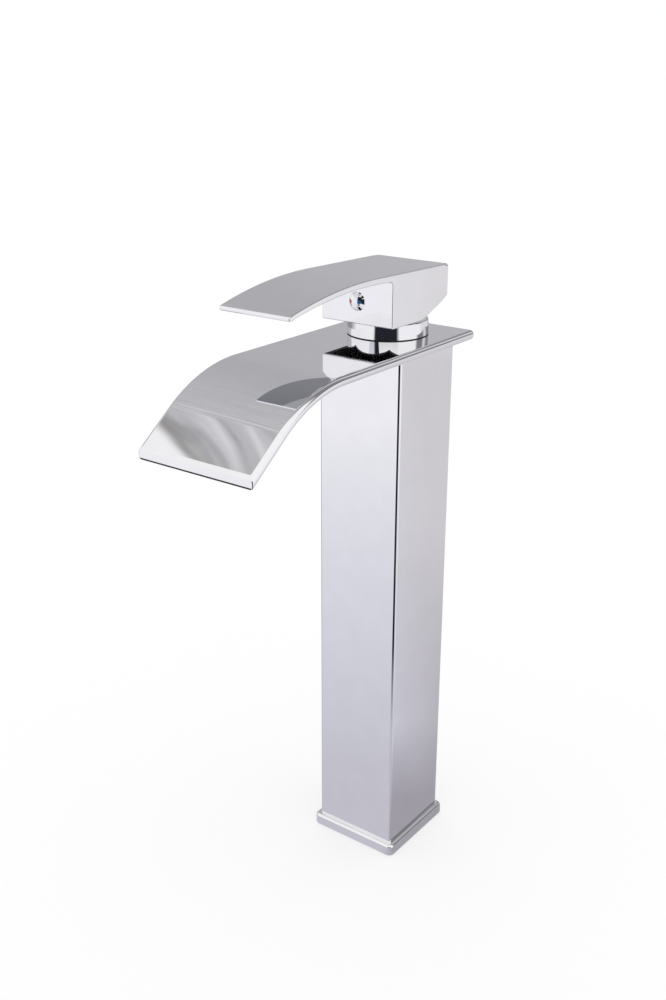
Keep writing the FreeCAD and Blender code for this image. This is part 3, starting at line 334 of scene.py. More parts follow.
STATIONS = np.concatenate(((SLOT_FAR, SLOT_NEAR), np.linspace(BEND_RUN, FLAT_RUN, 49),
                           (CHANNEL_RUN, NECK_FAR, NECK_NEAR)))


def bent(along, across, rise):
    """A point of the flat spout sheet in its place: straight over the column, round the bend, down the slope.

    along runs from the rear edge over the top surface, across is X, and rise is off the top surface."""
    turn = np.clip((along - FLAT_RUN) / SPOUT_BEND, 0, SPOUT_TURN)
    beyond = np.maximum(along - BEND_RUN, 0)
    y = PLATE_REAR - np.minimum(along, FLAT_RUN) - beyond * np.cos(turn) - (SPOUT_BEND + rise) * np.sin(turn)
    z = PLATE_TOP - SPOUT_BEND - beyond * np.sin(turn) + (SPOUT_BEND + rise) * np.cos(turn)
    return np.stack(np.broadcast_arrays(across, y, z), axis=-1)


def bent_way(along, forward, across, rise):
    """A direction of the flat sheet after the bend: forward and rise turn with the sheet, across stays."""
    turn = np.clip((along - FLAT_RUN) / SPOUT_BEND, 0, SPOUT_TURN)
    return np.stack(np.broadcast_arrays(across, -forward * np.cos(turn) - rise * np.sin(turn),
                                        rise * np.cos(turn) - forward * np.sin(turn)), axis=-1)


def plate_edges():
    """The plate's edges from top to underside: depth, the rims' inset and tilt, the lip's reach and lean.

    A rim is two quarter circles. The lip is plumb: its reach grows by depth times the tangent of the slope,
    with an arc above it that leans from the top's normal to level, and a small arc below it."""
    rim = PLATE_EDGE * (1 - np.cos(np.linspace(0, QUARTER, 13)))
    over = LIP_EDGE * (1 - np.cos(np.linspace(0, QUARTER - SPOUT_TURN, 9)))
    under = LIP_UNDER * (1 + np.cos(np.linspace(QUARTER - SPOUT_TURN, 2 * QUARTER, 9)))
    depth = np.unique(np.concatenate((rim, over, PLATE_THICKNESS - under, PLATE_THICKNESS - rim)))
    tilt = (np.arcsin(np.clip(1 - depth / PLATE_EDGE, 0, 1))
            - np.arcsin(np.clip(1 - (PLATE_THICKNESS - depth) / PLATE_EDGE, 0, 1)))
    lean = np.arccos(np.clip(1 - depth / LIP_EDGE, np.sin(SPOUT_TURN), 1))
    plumb = np.clip(depth, LIP_DEPTH, UNDER_DEPTH) - LIP_DEPTH
    turn = np.arccos(np.clip((PLATE_THICKNESS - depth) / LIP_UNDER - 1, -1, np.sin(SPOUT_TURN)))
    reach = (SPOUT_RUN - LIP_TANGENT + LIP_EDGE * np.sin(lean) + plumb * np.tan(SPOUT_TURN)
             + LIP_UNDER * (np.sin(turn) - np.cos(SPOUT_TURN)))
    return depth, PLATE_EDGE * (1 - np.cos(tilt)), tilt, reach, np.where(depth < UNDER_DEPTH, lean, turn)


def plate_columns(wide):
    """Places across the plate: its two rims, the channel's two sides and the middle."""
    even = np.ones_like(wide)
    return np.stack((-wide, -CHANNEL_HALF * even, 0 * even, CHANNEL_HALF * even, wide), axis=1)


def spout_skin():
    """The spout plate: a slab with round rims and a plumb lip, bent, with its neck hole and water channel."""
    skin = Skin()
    depth, inset, tilt, reach, lean = plate_edges()
    corner = np.linspace(QUARTER, 0, 9)
    stations = np.concatenate((np.full(len(corner), SPOUT_RUN), STATIONS))
    sides = np.column_stack((stations, np.full(len(stations), PLATE_HALF)))
    rear = arc((PLATE_CORNER, PLATE_HALF - PLATE_CORNER), PLATE_CORNER, QUARTER, 2 * QUARTER)
    half, half_ways = outline((sides, np.tile((0.0, 1.0), (len(sides), 1))), rear,
                              line((0, CHANNEL_HALF), (0, 0)))
    slot, last = len(corner), len(half) - 3
    start, far, near = len(stations) - np.array((3, 2, 1))

    # Rims all round; at the lip's two corners the rows turn from the rim's normal to the lip's
    mirror = np.array((1, -1))
    flat, ways = round_wall((np.concatenate((half, half[::-1] * mirror)),
                             np.concatenate((half_ways, half_ways[::-1] * mirror))),
                            (inset[:, None], -depth[:, None], tilt[:, None]))
    ahead, aside = np.sin(corner), np.cos(corner)
    front = np.stack((np.outer(np.sin(lean), ahead), np.outer(np.cos(tilt), aside),
                      np.outer(np.cos(lean), ahead) + np.outer(np.sin(tilt), aside)), axis=2)
    front /= np.linalg.norm(front, axis=2, keepdims=True)
    for hand, rows in ((1, np.arange(slot)), (-1, -1 - np.arange(slot))):
        flat[:, rows, 0] = reach[:, None] - LIP_CORNER * (1 - ahead)
        flat[:, rows, 1] -= hand * LIP_CORNER * (1 - aside)
        ways[:, rows] = front * (1, hand, 1)
    flat[:, (slot, -1 - slot), 0] = np.minimum(SLOT_FAR, reach - LIP_CORNER_RUN)[:, None]
    skin.grid(bent(*np.moveaxis(flat, 2, 0)), bent_way(flat[..., 0], *np.moveaxis(ways, 2, 0)))

    # The lip; from a set depth down its faces carry the second finish, a near-black painted shade along the
    # lower edge
    lip = bent(reach[:, None], plate_columns(PLATE_HALF - inset - LIP_CORNER), -depth[:, None])
    lip_ways = bent_way(reach[:, None], np.sin(lean)[:, None], 0, np.cos(lean)[:, None])
    shade_row = np.searchsorted(depth, LIP_SHADE_DEPTH)
    skin.grid(lip[:shade_row + 1], lip_ways[:shade_row + 1])
    skin.coat = 1
    skin.grid(lip[shade_row:], lip_ways[shade_row:])
    skin.coat = 0

    # Top and underside, each with the neck's round hole
    round_hole = arc((PLATE_REAR, 0), NECK_HOLE, 2 * QUARTER, 0, 48)[0]
    for level, way, spans in ((0, 1, ((0, far), (near, last))),
                              (-1, -1, ((0, slot), (start, far), (near, last)))):
        rim = flat[level, :last + 1]
        along, across, rise = rim[:, :1], plate_columns(rim[:, 1]), rim[0, 2]
        for first, final in spans:
            rows = slice(first, final + 1)
            skin.grid(bent(along[rows], across[rows], rise), bent_way(along[rows], 0, 0, way))
        for hand in (1, -1):
            corners = np.array(((NECK_FAR, 0), (NECK_FAR, CHANNEL_HALF), rim[far, :2], rim[near, :2],
                                (NECK_NEAR, CHANNEL_HALF), (NECK_NEAR, 0)))
            ring = np.concatenate((corners, round_hole)) * (1, hand)
            skin.flat(bent(*ring.T, rise), (0, 0, way))
    hole, hole_ways = arc((PLATE_REAR, 0), NECK_HOLE, -2 * QUARTER, 2 * QUARTER, 96)
    skin.grid(bent(*hole.T, np.array(((-PLATE_THICKNESS,), (0,)))), lifted(hole_ways[:, ::-1] * (-1, 1), 0))

    # The channel in the underside: its two ledges, roof, sides and ends
    under = flat[-1, slot:start + 1]
    along, across = under[:, :1], plate_columns(under[:, 1])
    walls = np.array((-PLATE_THICKNESS, -CHANNEL_ROOF))
    for ledge in (across[:, :2], across[:, 3:]):
        skin.grid(bent(along, ledge, -PLATE_THICKNESS), bent_way(along, 0, 0, -1))
    inside = across[:, 1:4]
    skin.grid(bent(along, inside, -CHANNEL_ROOF), bent_way(along, 0, 0, -1))
    for edge, way in ((CHANNEL_HALF, -1), (-CHANNEL_HALF, 1)):
        skin.grid(bent(along, edge, walls), bent_way(along, 0, way, 0))
    for end, way in ((0, -1), (-1, 1)):
        skin.grid(bent(along[end], inside[end], walls[:, None]), bent_way(along[end], way, 0, 0))
    return skin


def cover_skin():
    """The channel cover: a thin strip of the same bent sheet, flush with the plate's underside."""
    skin = Skin()
    half = CHANNEL_HALF - COVER_GAP
    along = np.concatenate((STATIONS[(STATIONS <= SLOT_NEAR) & (STATIONS > CHANNEL_RUN)],
                            (CHANNEL_RUN + COVER_GAP,)))[:, None]
    across = np.array((-half, half))
    depth = np.array((-PLATE_THICKNESS, COVER_THICKNESS - PLATE_THICKNESS))
    for rise, way in zip(depth, (-1, 1)):
        skin.grid(bent(along, across, rise), bent_way(along, 0, 0, way))
    for edge, way in zip(across, (-1, 1)):
        skin.grid(bent(along, edge, depth), bent_way(along, 0, way, 0))
    for end, way in ((along[0], 1), (along[-1], -1)):
        skin.grid(bent(end, across, depth[:, None]), bent_way(end, way, 0, 0))
    return skin


def arc_centre(first, last, radius):
    """The centre below an arc through two points: their middle, then square to the chord by the rest of r."""
    first, last = np.array(first), np.array(last)
    chord = last - first
    reach = np.sqrt(radius ** 2 - chord @ chord / 4)
    return (first + last) / 2 + np.array((chord[1], -chord[0])) / np.linalg.norm(chord) * reach


def above(centre, distance, y):
    """The point at y that is a distance from a centre, on its upper side."""
    return np.array((y, centre[1] + np.sqrt(distance ** 2 - (y - centre[0]) ** 2)))


def bearing(start, end):
    """The angle of the way from one point to another, from 0 to a full turn."""
    return np.arctan2(end[1] - start[1], end[0] - start[0]) % (4 * QUARTER)


def narrowed(points, ways, rear, taper):
    """The handle's taper: X times a share that falls evenly from 1 at the rear, and normals turned to suit."""
    share = 1 - (rear - points[..., 1]) * taper / HANDLE_HALF
    narrow = np.stack((points[..., 0] * share, points[..., 1], points[..., 2]), axis=-1)
    lean = ways[..., 1] - ways[..., 0] * points[..., 0] * taper / HANDLE_HALF / share
    turned_ways = np.stack((ways[..., 0] / share, lean, ways[..., 2]), axis=-1)
    return narrow, turned_ways / np.linalg.norm(turned_ways, axis=-1, keepdims=True)


def handle_outline(foot, rear, tip):
    """The handle from the side, in Y and Z: rear edge, top, tip and hub front; the hollow's rim; the back.

    The lever's top and underside are arcs of one radius, and each edge is a small arc that touches both."""
    edge, hub_top, rise = HANDLE_EDGE, foot + HUB_RISE, np.tan(LEVER_SLOPE)
    bend = np.array((LEVER_FLAT, hub_top + (rear - LEVER_FLAT) * rise))
    over = bend - LEVER_RADIUS * np.array((np.sin(LEVER_SLOPE), np.cos(LEVER_SLOPE)))
    root_z = hub_top + (rear - HUB_FRONT) * rise - LEVER_ROOT
    tip_z = above(over, LEVER_RADIUS, tip)[1] - LEVER_TIP
    under = arc_centre((tip, tip_z), (HUB_FRONT, root_z), LEVER_RADIUS)
    tip_top = above(over, LEVER_RADIUS - edge, tip + edge)
    tip_low = above(under, LEVER_RADIUS + edge, tip + edge)
    root = above(under, LEVER_RADIUS - ROOT_FILLET, HUB_FRONT - ROOT_FILLET)
    crown = arc((rear - REAR_EDGE, hub_top + REAR_EDGE * (rise - 1 / np.cos(LEVER_SLOPE))), REAR_EDGE,
                0, QUARTER - LEVER_SLOPE)
    crown_end = crown[0][-1]
    front_part = outline(
        crown, line(crown_end, crown_end + REAR_GROWTH * np.array((-1, rise))),
        arc(over, LEVER_RADIUS, QUARTER - LEVER_SLOPE, bearing(over, tip_top), 40),
        arc(tip_top, edge, bearing(over, tip_top), 2 * QUARTER),
        arc(tip_low, edge, 2 * QUARTER, bearing(tip_low, under)),
        arc(under, LEVER_RADIUS, bearing(under, tip_low), bearing(under, root), 40),
        arc(root, ROOT_FILLET, bearing(under, root), 0),
        arc((HUB_FRONT + edge, foot + edge), edge, 2 * QUARTER, 3 * QUARTER))

    chamfer = np.arctan2(HUB_CHAMFER_RISE, rear - HUB_CHAMFER_START)
    climb = np.tan(chamfer)
    heel = arc((HUB_CHAMFER_START - ROOT_FILLET * np.tan(chamfer / 2), foot + ROOT_FILLET), ROOT_FILLET,
               3 * QUARTER, 3 * QUARTER + chamfer, 4)
    cavity_end = (CAVITY_REAR, foot + (CAVITY_REAR - HUB_CHAMFER_START) * climb)
    cavity_rim = outline(line((CAVITY_FRONT, foot), heel[0][0]), heel, line(heel[0][-1], cavity_end))
    back_z = foot + (rear - REAR_EDGE - HUB_CHAMFER_START) * climb + REAR_EDGE / np.cos(chamfer)
    back = arc((rear - REAR_EDGE, back_z), REAR_EDGE, 3 * QUARTER + chamfer, 4 * QUARTER)
    back_start = back[0][0]
    back_part = outline(line(back_start - REAR_GROWTH * np.array((1, climb)), back_start), back)
    return front_part, cavity_rim, back_part


def handle_skin():
    """The handle: its side outline carried across X, tapered, with round flank edges, hollow below."""
    low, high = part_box("handle")
    foot, rear, tip = low[2], high[1], low[1]
    taper = (HANDLE_HALF - TIP_HALF) / (rear - tip)
    front_part, cavity_rim, back_part = handle_outline(foot, rear, tip)
    points, normals = outline(front_part, cavity_rim, back_part)
    opening = len(front_part[0]) + np.arange(len(cavity_rim[0]))

    # Flanks and their edges, whose radius grows close to the rear
    skin = Skin()
    near_rear = np.clip(1 - (rear - REAR_EDGE - points[:, 0]) / REAR_GROWTH, 0, 1)
    edge = FLANK_EDGE + (REAR_EDGE - FLANK_EDGE) * near_rear
    wall, ways = round_wall((points, normals), edge_rings(-HANDLE_HALF, HANDLE_HALF, edge, edge))
    wall, ways = narrowed(np.roll(wall, 1, axis=2), np.roll(ways, 1, axis=2), rear, taper)
    middle = len(wall) // 2
    skin.grid(wall[:middle], ways[:middle], wrap=True)
    skin.grid(wall[middle:], ways[middle:], wrap=True)
    flank = np.array((1, -taper, 0)) / np.hypot(1, taper)
    skin.flat(wall[0], flank * (-1, 1, 1))
    skin.flat(wall[-1], flank)

    # Across from flank to flank in three strips, all but the hollow's opening
    inner = [np.column_stack((np.full(len(points), x), points)) for x in (-CAVITY_HALF, CAVITY_HALF)]
    strips = np.stack((wall[middle - 1], inner[0])), np.stack((inner[1], wall[middle])), np.stack(inner)
    plated = np.concatenate((np.arange(opening[-1], len(points)), np.arange(opening[0])))
    bare = np.arange(opening[0] - 1, opening[-1] + 1)
    for strip in strips:
        skin.grid(strip[:, plated], ways[middle, plated])
    skin.coat = 1
    for strip, columns in zip(strips, (bare, bare, bare[:2])):
        skin.grid(strip[:, columns], ways[middle, columns])

    # The hollow: two sides, front, rear and roof, and the bosses for the stem and its screw
    roof = foot + CAVITY_HEIGHT
    ring = np.concatenate((points[opening], ((CAVITY_REAR, roof), (CAVITY_FRONT, roof))))
    for x in (-CAVITY_HALF, CAVITY_HALF):
        skin.flat(np.column_stack((np.full(len(ring), x), ring)), (-np.sign(x), 0, 0))
    across = np.array((-CAVITY_HALF, CAVITY_HALF, CAVITY_HALF, -CAVITY_HALF))
    for start, end, way in (((CAVITY_FRONT, foot), (CAVITY_FRONT, roof), (0, 1, 0)),
                            (points[opening[-1]], (CAVITY_REAR, roof), (0, -1, 0)),
                            ((CAVITY_FRONT, roof), (CAVITY_REAR, roof), (0, 0, -1))):
        skin.flat(np.column_stack((across, np.array((start, start, end, end)))), way)
    turned_tube(skin, BOSS_RADIUS, BOSS_BORE, foot + BOSS_SETBACK, roof + BOSS_SUNK, upright)
    turned_tube(skin, SCREW_BOSS_RADIUS, SCREW_BOSS_BORE, HUB_FRONT - SCREW_BOSS_END,
                HUB_FRONT - CAVITY_FRONT + BOSS_SUNK, facing_front)
    return skin


# The index plug's place on the hub's front, and the ball that its dome is cut from
PLUG_LOW, PLUG_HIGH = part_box("index_plug")
INDEX_Z = (PLUG_LOW[2] + PLUG_HIGH[2]) / 2
PLUG_DOME = HUB_FRONT - PLUG_LOW[1]
PLUG_TAIL = HUB_FRONT - PLUG_HIGH[1]
DOME_RADIUS = (PLUG_RADIUS ** 2 + PLUG_DOME ** 2) / (2 * PLUG_DOME)


def facing_front(points, placed):
    """The place of a piece turned about the index plug's axis: its height points out of the hub, along -Y."""
    return points[..., (0, 2, 1)] * (1, -1, 1) + placed * np.array((0, HUB_FRONT, INDEX_Z))


def plug_skin():
    """The index plug: a ball cap with a shank behind it, turned."""
    skin = Skin()
    rim = np.arcsin((DOME_RADIUS - PLUG_DOME) / DOME_RADIUS)
    dome = arc((0, PLUG_DOME - DOME_RADIUS), DOME_RADIUS, rim, QUARTER, 32)
    turned(skin, outline(line((0, PLUG_TAIL), (PLUG_SHANK, PLUG_TAIL)),
                         line((PLUG_SHANK, PLUG_TAIL), (PLUG_SHANK, 0)),
                         line((PLUG_SHANK, 0), (PLUG_RADIUS, 0)), dome), facing_front, steps=96)
    return skin


def dot_skin(cad_node):
    """An enamel dot: a shallow drop on the dome, its rim just under the ball and its middle proud of it.

    Its distance from the ball's centre falls with the square of the share of the way out to its rim."""
    low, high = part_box(cad_node)
    x = (low[0] + high[0]) / 2
    ball = np.array((0, HUB_FRONT - PLUG_DOME + DOME_RADIUS, INDEX_Z))
    axis = np.array((x, -np.sqrt(DOME_RADIUS ** 2 - x ** 2), 0)) / DOME_RADIUS
    side, up = np.array((-axis[1], axis[0], 0)), np.array((0, 0, 1))
    share = np.concatenate((np.linspace(0, 1, 13), (1, 0)))
    reach = DOME_RADIUS + DOT_RISE * (1 - share ** 2) - DOT_DIP * (share == 1)
    reach[-2:] -= DOT_DEPTH
    polar = share * np.arcsin(DOT_RADIUS / DOME_RADIUS)
    profile = np.column_stack((reach * np.sin(polar), reach * np.cos(polar)))[::-1]
    slope = np.gradient(profile, axis=0)
    normal = np.column_stack((slope[:, 1], -slope[:, 0]))
    normal /= np.linalg.norm(normal, axis=1, keepdims=True)
    skin = Skin()
    turned(skin, (profile, normal),
           lambda points, placed: points @ np.stack((side, up, axis)) + placed * ball, steps=32)
    return skin


def linear(text):
    """A colour from its sRGB hex, made linear."""
    value = np.array([int(text[at:at + 2], 16) for at in (1, 3, 5)]) / 255
    return (*np.where(value <= 0.04045, value / 12.92, ((value + 0.055) / 1.055) ** 2.4), 1)


def node(tree, kind, inputs=(), stops=(), **settings):
    """Add a node: inputs pairs a socket with a value or another node's output, stops fill a colour ramp."""
    made = tree.nodes.new(kind)
    for name, setting in settings.items():
        setattr(made, name, setting)
    for socket, source in dict(inputs).items():
        if isinstance(source, bpy.types.NodeSocket):
            tree.links.new(source, made.inputs[socket])
        else:
            made.inputs[socket].default_value = source
    for number, (position, colour) in enumerate(stops):
        if number > 1:
            made.color_ramp.elements.new(position)
        made.color_ramp.elements[number].position = position
        made.color_ramp.elements[number].color = linear(colour)
    return made


def finish(name):
    """A new material, its node tree, and the object coordinates its patterns are drawn on."""
    made = bpy.data.materials.new(name)
    made.use_nodes = True
    made.node_tree.nodes.clear()
    return made, made.node_tree, node(made.node_tree, "ShaderNodeTexCoord").outputs["Object"]


def surfaced(tree, tone, rough, relief, constants):
    """The shader of a finish, led by patterns: its tones, its roughness and its relief in millimetres."""
    colour = node(tree, "ShaderNodeValToRGB", {"Fac": tone[0]}, stops=((0.3, tone[1]), (0.7, tone[2])))
    dull = node(tree, "ShaderNodeMapRange", {"Value": rough[0], "To Min": rough[1], "To Max": rough[2]})
    bump = node(tree, "ShaderNodeBump", {"Height": relief[0], "Strength": relief[1],
                                         "Distance": relief[2] * MM})
    shader = node(tree, "ShaderNodeBsdfPrincipled", {
        "Base Color": colour.outputs["Color"], "Roughness": dull.outputs["Result"],
        "Normal": bump.outputs["Normal"], **constants})
    node(tree, "ShaderNodeOutputMaterial", {"Surface": shader.outputs["BSDF"]})


# Sizes of the slow patterns in millimetres, and how a wave texture's scale goes with the spacing of its marks
HAZE_MM = 9
STAIN_MM = 12
DRIFT_MM = 8
WAVE_UNIT = 4 * QUARTER / 20


def chromium_plate(name, wave_mm, wave_height_mm):
    """Chromium plate over polished metal: a cool mirror whose lines waver a little where the wheel went."""
    made, tree, place = finish(name)
    waves = node(tree, "ShaderNodeTexNoise", {"Vector": place, "Scale": 1 / (wave_mm * MM), "Detail": 2.0,
                                              "Roughness": 0.4}).outputs["Fac"]
    haze = node(tree, "ShaderNodeTexNoise", {"Vector": place, "Scale": 1 / (HAZE_MM * MM),
                                             "Detail": 4.0}).outputs["Fac"]
    surfaced(tree, (haze, "#f0f0f2", "#f3f3f5"), (haze, 0.015, 0.04), (waves, 1.0, wave_height_mm),
             {"Metallic": 1.0})
    return made


def cut_metal(name, dark, light, mark_mm, rings, low_rough, high_rough):
    """Machined or drawn metal: tool marks in rings or bands, brighter and duller by turns.

    Real marks are some tenths of a millimetre apart; they are drawn coarser, so that they show."""
    made, tree, place = finish(name)
    marks = node(tree, "ShaderNodeTexWave", {"Vector": place, "Scale": WAVE_UNIT / (mark_mm * MM),
                                             "Distortion": 1.5, "Detail": 3.0, "Detail Scale": 2.0},
                 wave_type="RINGS" if rings else "BANDS", bands_direction="X",
                 rings_direction="Z").outputs["Fac"]
    stain = node(tree, "ShaderNodeTexNoise", {"Vector": place, "Scale": 1 / (STAIN_MM * MM),
                                              "Detail": 5.0}).outputs["Fac"]
    surfaced(tree, (stain, dark, light), (marks, low_rough, high_rough), (marks, 0.3, 0.01),
             {"Metallic": 1.0})
    return made


def moulded(name, dark, light, grain_mm, grain_height_mm, low_rough, high_rough, coat=0.0):
    """A moulded, cast or fired body: a colour that drifts slightly, a fine grain and a soft or clear gloss."""
    made, tree, place = finish(name)
    grain = node(tree, "ShaderNodeTexNoise", {"Vector": place, "Scale": 1 / (grain_mm * MM),
                                              "Detail": 3.0}).outputs["Fac"]
    drift = node(tree, "ShaderNodeTexNoise", {"Vector": place, "Scale": 1 / (DRIFT_MM * MM),
                                              "Detail": 2.0}).outputs["Fac"]
    surfaced(tree, (drift, dark, light), (grain, low_rough, high_rough), (grain, 0.4, grain_height_mm),
             {"Coat Weight": coat, "Coat Roughness": 0.05})
    return made


# Finishes, by the record's slot
FINISHES = {
    # Buffed brass is flat and hard, so its plating mirrors with hardly a waver
    "chromed_brass": chromium_plate("polished_chromium_on_brass", 45, 0.010),
    # A zinc casting keeps a little more of the wheel's wave under the plating
    "chromed_zinc": chromium_plate("polished_chromium_on_cast_zinc", 30, 0.010),
    # Turned brass: warm yellow, with the tool's rings
    "bare_brass": cut_metal("machined_brass", "#b08d4f", "#cdab68", 1.571, True, 0.22, 0.34),
    # Drawn copper: pinkish, with lines along the tube
    "copper_tube": cut_metal("drawn_copper", "#b06a4c", "#cd8763", 1.257, False, 0.2, 0.32),
    # Turned stainless steel: neutral grey, satin
    "stainless_steel": cut_metal("turned_stainless_steel", "#b4b5b7", "#c8c9cb", 1.257, True, 0.2, 0.3),
    # Moulded nitrile rubber: near black, dull, finely pitted
    "black_rubber": moulded("moulded_nitrile_rubber", "#1a1a1c", "#232325", 0.3, 0.02, 0.5, 0.68),
    # Moulded acetal: milky white with a waxy gloss
    "moulded_acetal": moulded("moulded_acetal", "#e2e0d9", "#eceae4", 0.6, 0.01, 0.28, 0.42),
    # Lapped alumina: ivory, smooth as glass on its faces
    "ceramic": moulded("lapped_alumina", "#e9e4d8", "#f2eee4", 0.4, 0.004, 0.12, 0.22),
    # Filled enamel: a clear glossy drop of strong colour
    "red_enamel": moulded("filled_red_enamel", "#c02a22", "#d2382e", 0.5, 0.004, 0.12, 0.2, coat=0.6),
    "blue_enamel": moulded("filled_blue_enamel", "#1c66ac", "#2478c2", 0.5, 0.004, 0.12, 0.2, coat=0.6),
}

# Second finishes of a piece: faces without plating on the handle, and painted shade on the spout's lip
BARE_AND_PAINTED_SHADE_FACES = {
    # The hub's hollow and underside are left as cast: dull dark grey zinc with the mould's grain
    "handle": [moulded("as_cast_zinc", "#27282b", "#303134", 0.8, 0.01, 0.55, 0.75)],
    # The lip's lower edge has painted shade: a near-black finish that stands in for the dark line of shade
    # along the lip
    "spout_plate": [moulded("painted_shade_on_lip_edge", "#141316", "#1e1c1d", 0.5, 0.004, 0.45, 0.65)],
}

SLOTS = {subpart["node"]: subpart["material_slot"] for subpart in frame["record"]["subparts"]}
for name, part in frame["nodes"].items():
    part.data.materials.clear()
    part.data.materials.append(FINISHES[SLOTS[name]])

SKINS = {
    "base_flange": ("foot_plate", "tap_body", foot_skin()),
    "column_tube": ("square_column", "tap_body", column_skin()),
    "collar": ("clamping_collar", "tap_body", collar_skin()),
    "spout_plate": ("waterfall_spout", "tap_body", spout_skin()),
    "spout_channel_cover": ("channel_cover", "tap_body", cover_skin()),
    "handle": ("lever_handle", "lever", handle_skin()),
    "index_plug": ("domed_index_plug", "lever", plug_skin()),
    "index_dot_hot": ("red_enamel_dot", "lever", dot_skin("index_dot_hot")),
    "index_dot_cold": ("blue_enamel_dot", "lever", dot_skin("index_dot_cold")),
}
for name, (piece_name, body, skin) in SKINS.items():
    skin.piece(piece_name, body, SLOTS[name], [FINISHES[SLOTS[name]]] + BARE_AND_PAINTED_SHADE_FACES.get(name, []), name)

# Camera at the photograph's angle
PHOTO_SIDE = 1000
FOCAL_PIXELS = 1178.08
SENSOR_MM = 36.0
CAMERA_PLACE = (0.30155, -0.44496, 0.39552)
CAMERA_TURN = (68.658, -0.087, 36.845)
camera = bpy.data.objects.new("camera", bpy.data.cameras.new("camera"))
camera.data.sensor_width = SENSOR_MM
camera.data.lens = FOCAL_PIXELS / PHOTO_SIDE * SENSOR_MM
camera.data.clip_start = 0.01
camera.matrix_world = (Matrix.Translation(CAMERA_PLACE)
                       @ Euler(np.radians(CAMERA_TURN)).to_matrix().to_4x4())
bpy.context.scene.collection.objects.link(camera)
bpy.context.scene.camera = camera

# Studio: a white tent with grey cloth hung at its back left, a dark opening for the camera and a pale floor
FLOOR_HALF = 15.0
FLOOR_FADE = 1.25
FLOOR_WHITE = 0.6
BESIDE_FOOT = (0.1, 0.04)
# The folds fan out from a middle, and change slowly along the way they run
FOLD_MIDDLE = (-0.696, -0.174, 0.711)
FOLD_ALONG = (0.096, -0.042, 0.0588)
FOLD_SCALE = 80.0
# The cloth ends at a hem: how far a direction is past it, with a ridge just before its edge
CLOTH_HEM = (-0.435, -0.792, -0.422)
HEM_EDGE = (0.062, 0.07)
HEM_RIDGE = (0.03, 0.08)
OPENING_TOP = (0.36, 0.3)
LAMP_STRENGTH = 0.3
LAMP_SPREAD = 1.2


def compass(tree, way):
    """Where a way points as a share of a full turn, a half at the back and more to the right, and its rise."""
    apart = node(tree, "ShaderNodeSeparateXYZ", {"Vector": way})
    angle = node(tree, "ShaderNodeMath", {0: apart.outputs["X"], 1: apart.outputs["Y"]}, operation="ARCTAN2")
    turn = node(tree, "ShaderNodeMath", {0: angle.outputs["Value"], 1: 1 / (4 * QUARTER), 2: 0.5},
                operation="MULTIPLY_ADD")
    return turn.outputs["Value"], apart.outputs["Z"]


def around(*stops):
    """Ramp stops given by compass degrees, from -180 to 180 with 0 at the back."""
    return [(degrees / 360 + 0.5, colour) for degrees, colour in stops]


def layered(tree, tone, *layers):
    """Tones laid over one another in order; a layer has its share, its tone and the way it blends."""
    for share, colour, blend in layers:
        tone = node(tree, "ShaderNodeMix", {0: share, 6: tone, 7: colour},
                    data_type="RGBA", blend_type=blend).outputs[2]
    return tone


def floor_paint():
    """Matt white floor paint; a mirror sees painted shading on it, which falls off near the foot and differs
    by side.

    Its greys by distance are for the lit side, the dim right side, the back and the dark opening."""
    made, tree, place = finish("matt_floor_paint")
    made.cycles.emission_sampling = "NONE"
    turn, _ = compass(tree, place)
    flat = node(tree, "ShaderNodeVectorMath", {0: place, 1: (1 / FLOOR_FADE, 1 / FLOOR_FADE, 0)},
                operation="MULTIPLY")
    away = node(tree, "ShaderNodeVectorMath", {0: flat.outputs["Vector"]},
                operation="LENGTH").outputs["Value"]
    shades = (
        ((0.0, "#c4c4ce"), (0.2, "#dcdce6"), (0.6, "#f8f8fc")),
        ((0.0, "#a8a4ac"), (0.1, "#bebac2"), (0.35, "#d6d4d8"), (0.8, "#d6d4d8"), (1.0, "#e4e2e4")),
        ((0.1, "#a4a2a8"), (0.25, "#7e7e84"), (0.5, "#949498")),
        ((0.12, "#c2c0cc"), (0.2, "#26262e")))
    lit, dim, back, opening = (
        node(tree, "ShaderNodeValToRGB", {"Fac": away}, stops=stops).outputs["Color"] for stops in shades)
    sides = node(tree, "ShaderNodeValToRGB", {"Fac": turn}, stops=around(
        (-180, "#0000ff"), (-174, "#000000"), (-118, "#000000"), (-90, "#00ff00"), (-20, "#00ff00"),
        (2, "#ff0000"), (34, "#ff0000"), (48, "#000000"), (113, "#000000"), (121, "#0000ff"),
        (180, "#0000ff")))
    side = node(tree, "ShaderNodeSeparateColor", {"Color": sides.outputs["Color"]}).outputs
    beside = node(tree, "ShaderNodeValToRGB", {"Fac": turn}, stops=around(
        (-125, "#cac8d2"), (-80, "#a8a4ac"), (125, "#a8a4ac"), (150, "#cac8d2"))).outputs["Color"]
    close = node(tree, "ShaderNodeMapRange", {"Value": away, "From Min": BESIDE_FOOT[0],
                                              "From Max": BESIDE_FOOT[1]}).outputs["Result"]
    tone = layered(tree, lit, (side["Red"], dim, "MIX"), (side["Green"], back, "MIX"),
                   (side["Blue"], opening, "MIX"), (close, beside, "MIX"))
    paint = node(tree, "ShaderNodeBsdfDiffuse", {"Color": linear("#f6f6f6")}).outputs["BSDF"]
    bright = node(tree, "ShaderNodeEmission", {"Color": linear("#ffffff")}).outputs["Emission"]
    # Mirrors see painted shade: these tones glow in place of the floor's own lighting
    mirrored = node(tree, "ShaderNodeEmission", {"Color": tone}).outputs["Emission"]
    ray = node(tree, "ShaderNodeLightPath").outputs
    shown = node(tree, "ShaderNodeMixShader", {0: FLOOR_WHITE, 1: paint, 2: bright}).outputs["Shader"]
    seen = node(tree, "ShaderNodeMixShader", {0: ray["Is Camera Ray"], 1: paint, 2: shown}).outputs["Shader"]
    all_rays = node(tree, "ShaderNodeMixShader", {0: ray["Is Glossy Ray"], 1: seen, 2: mirrored})
    node(tree, "ShaderNodeOutputMaterial", {"Surface": all_rays.outputs["Shader"]})
    return made


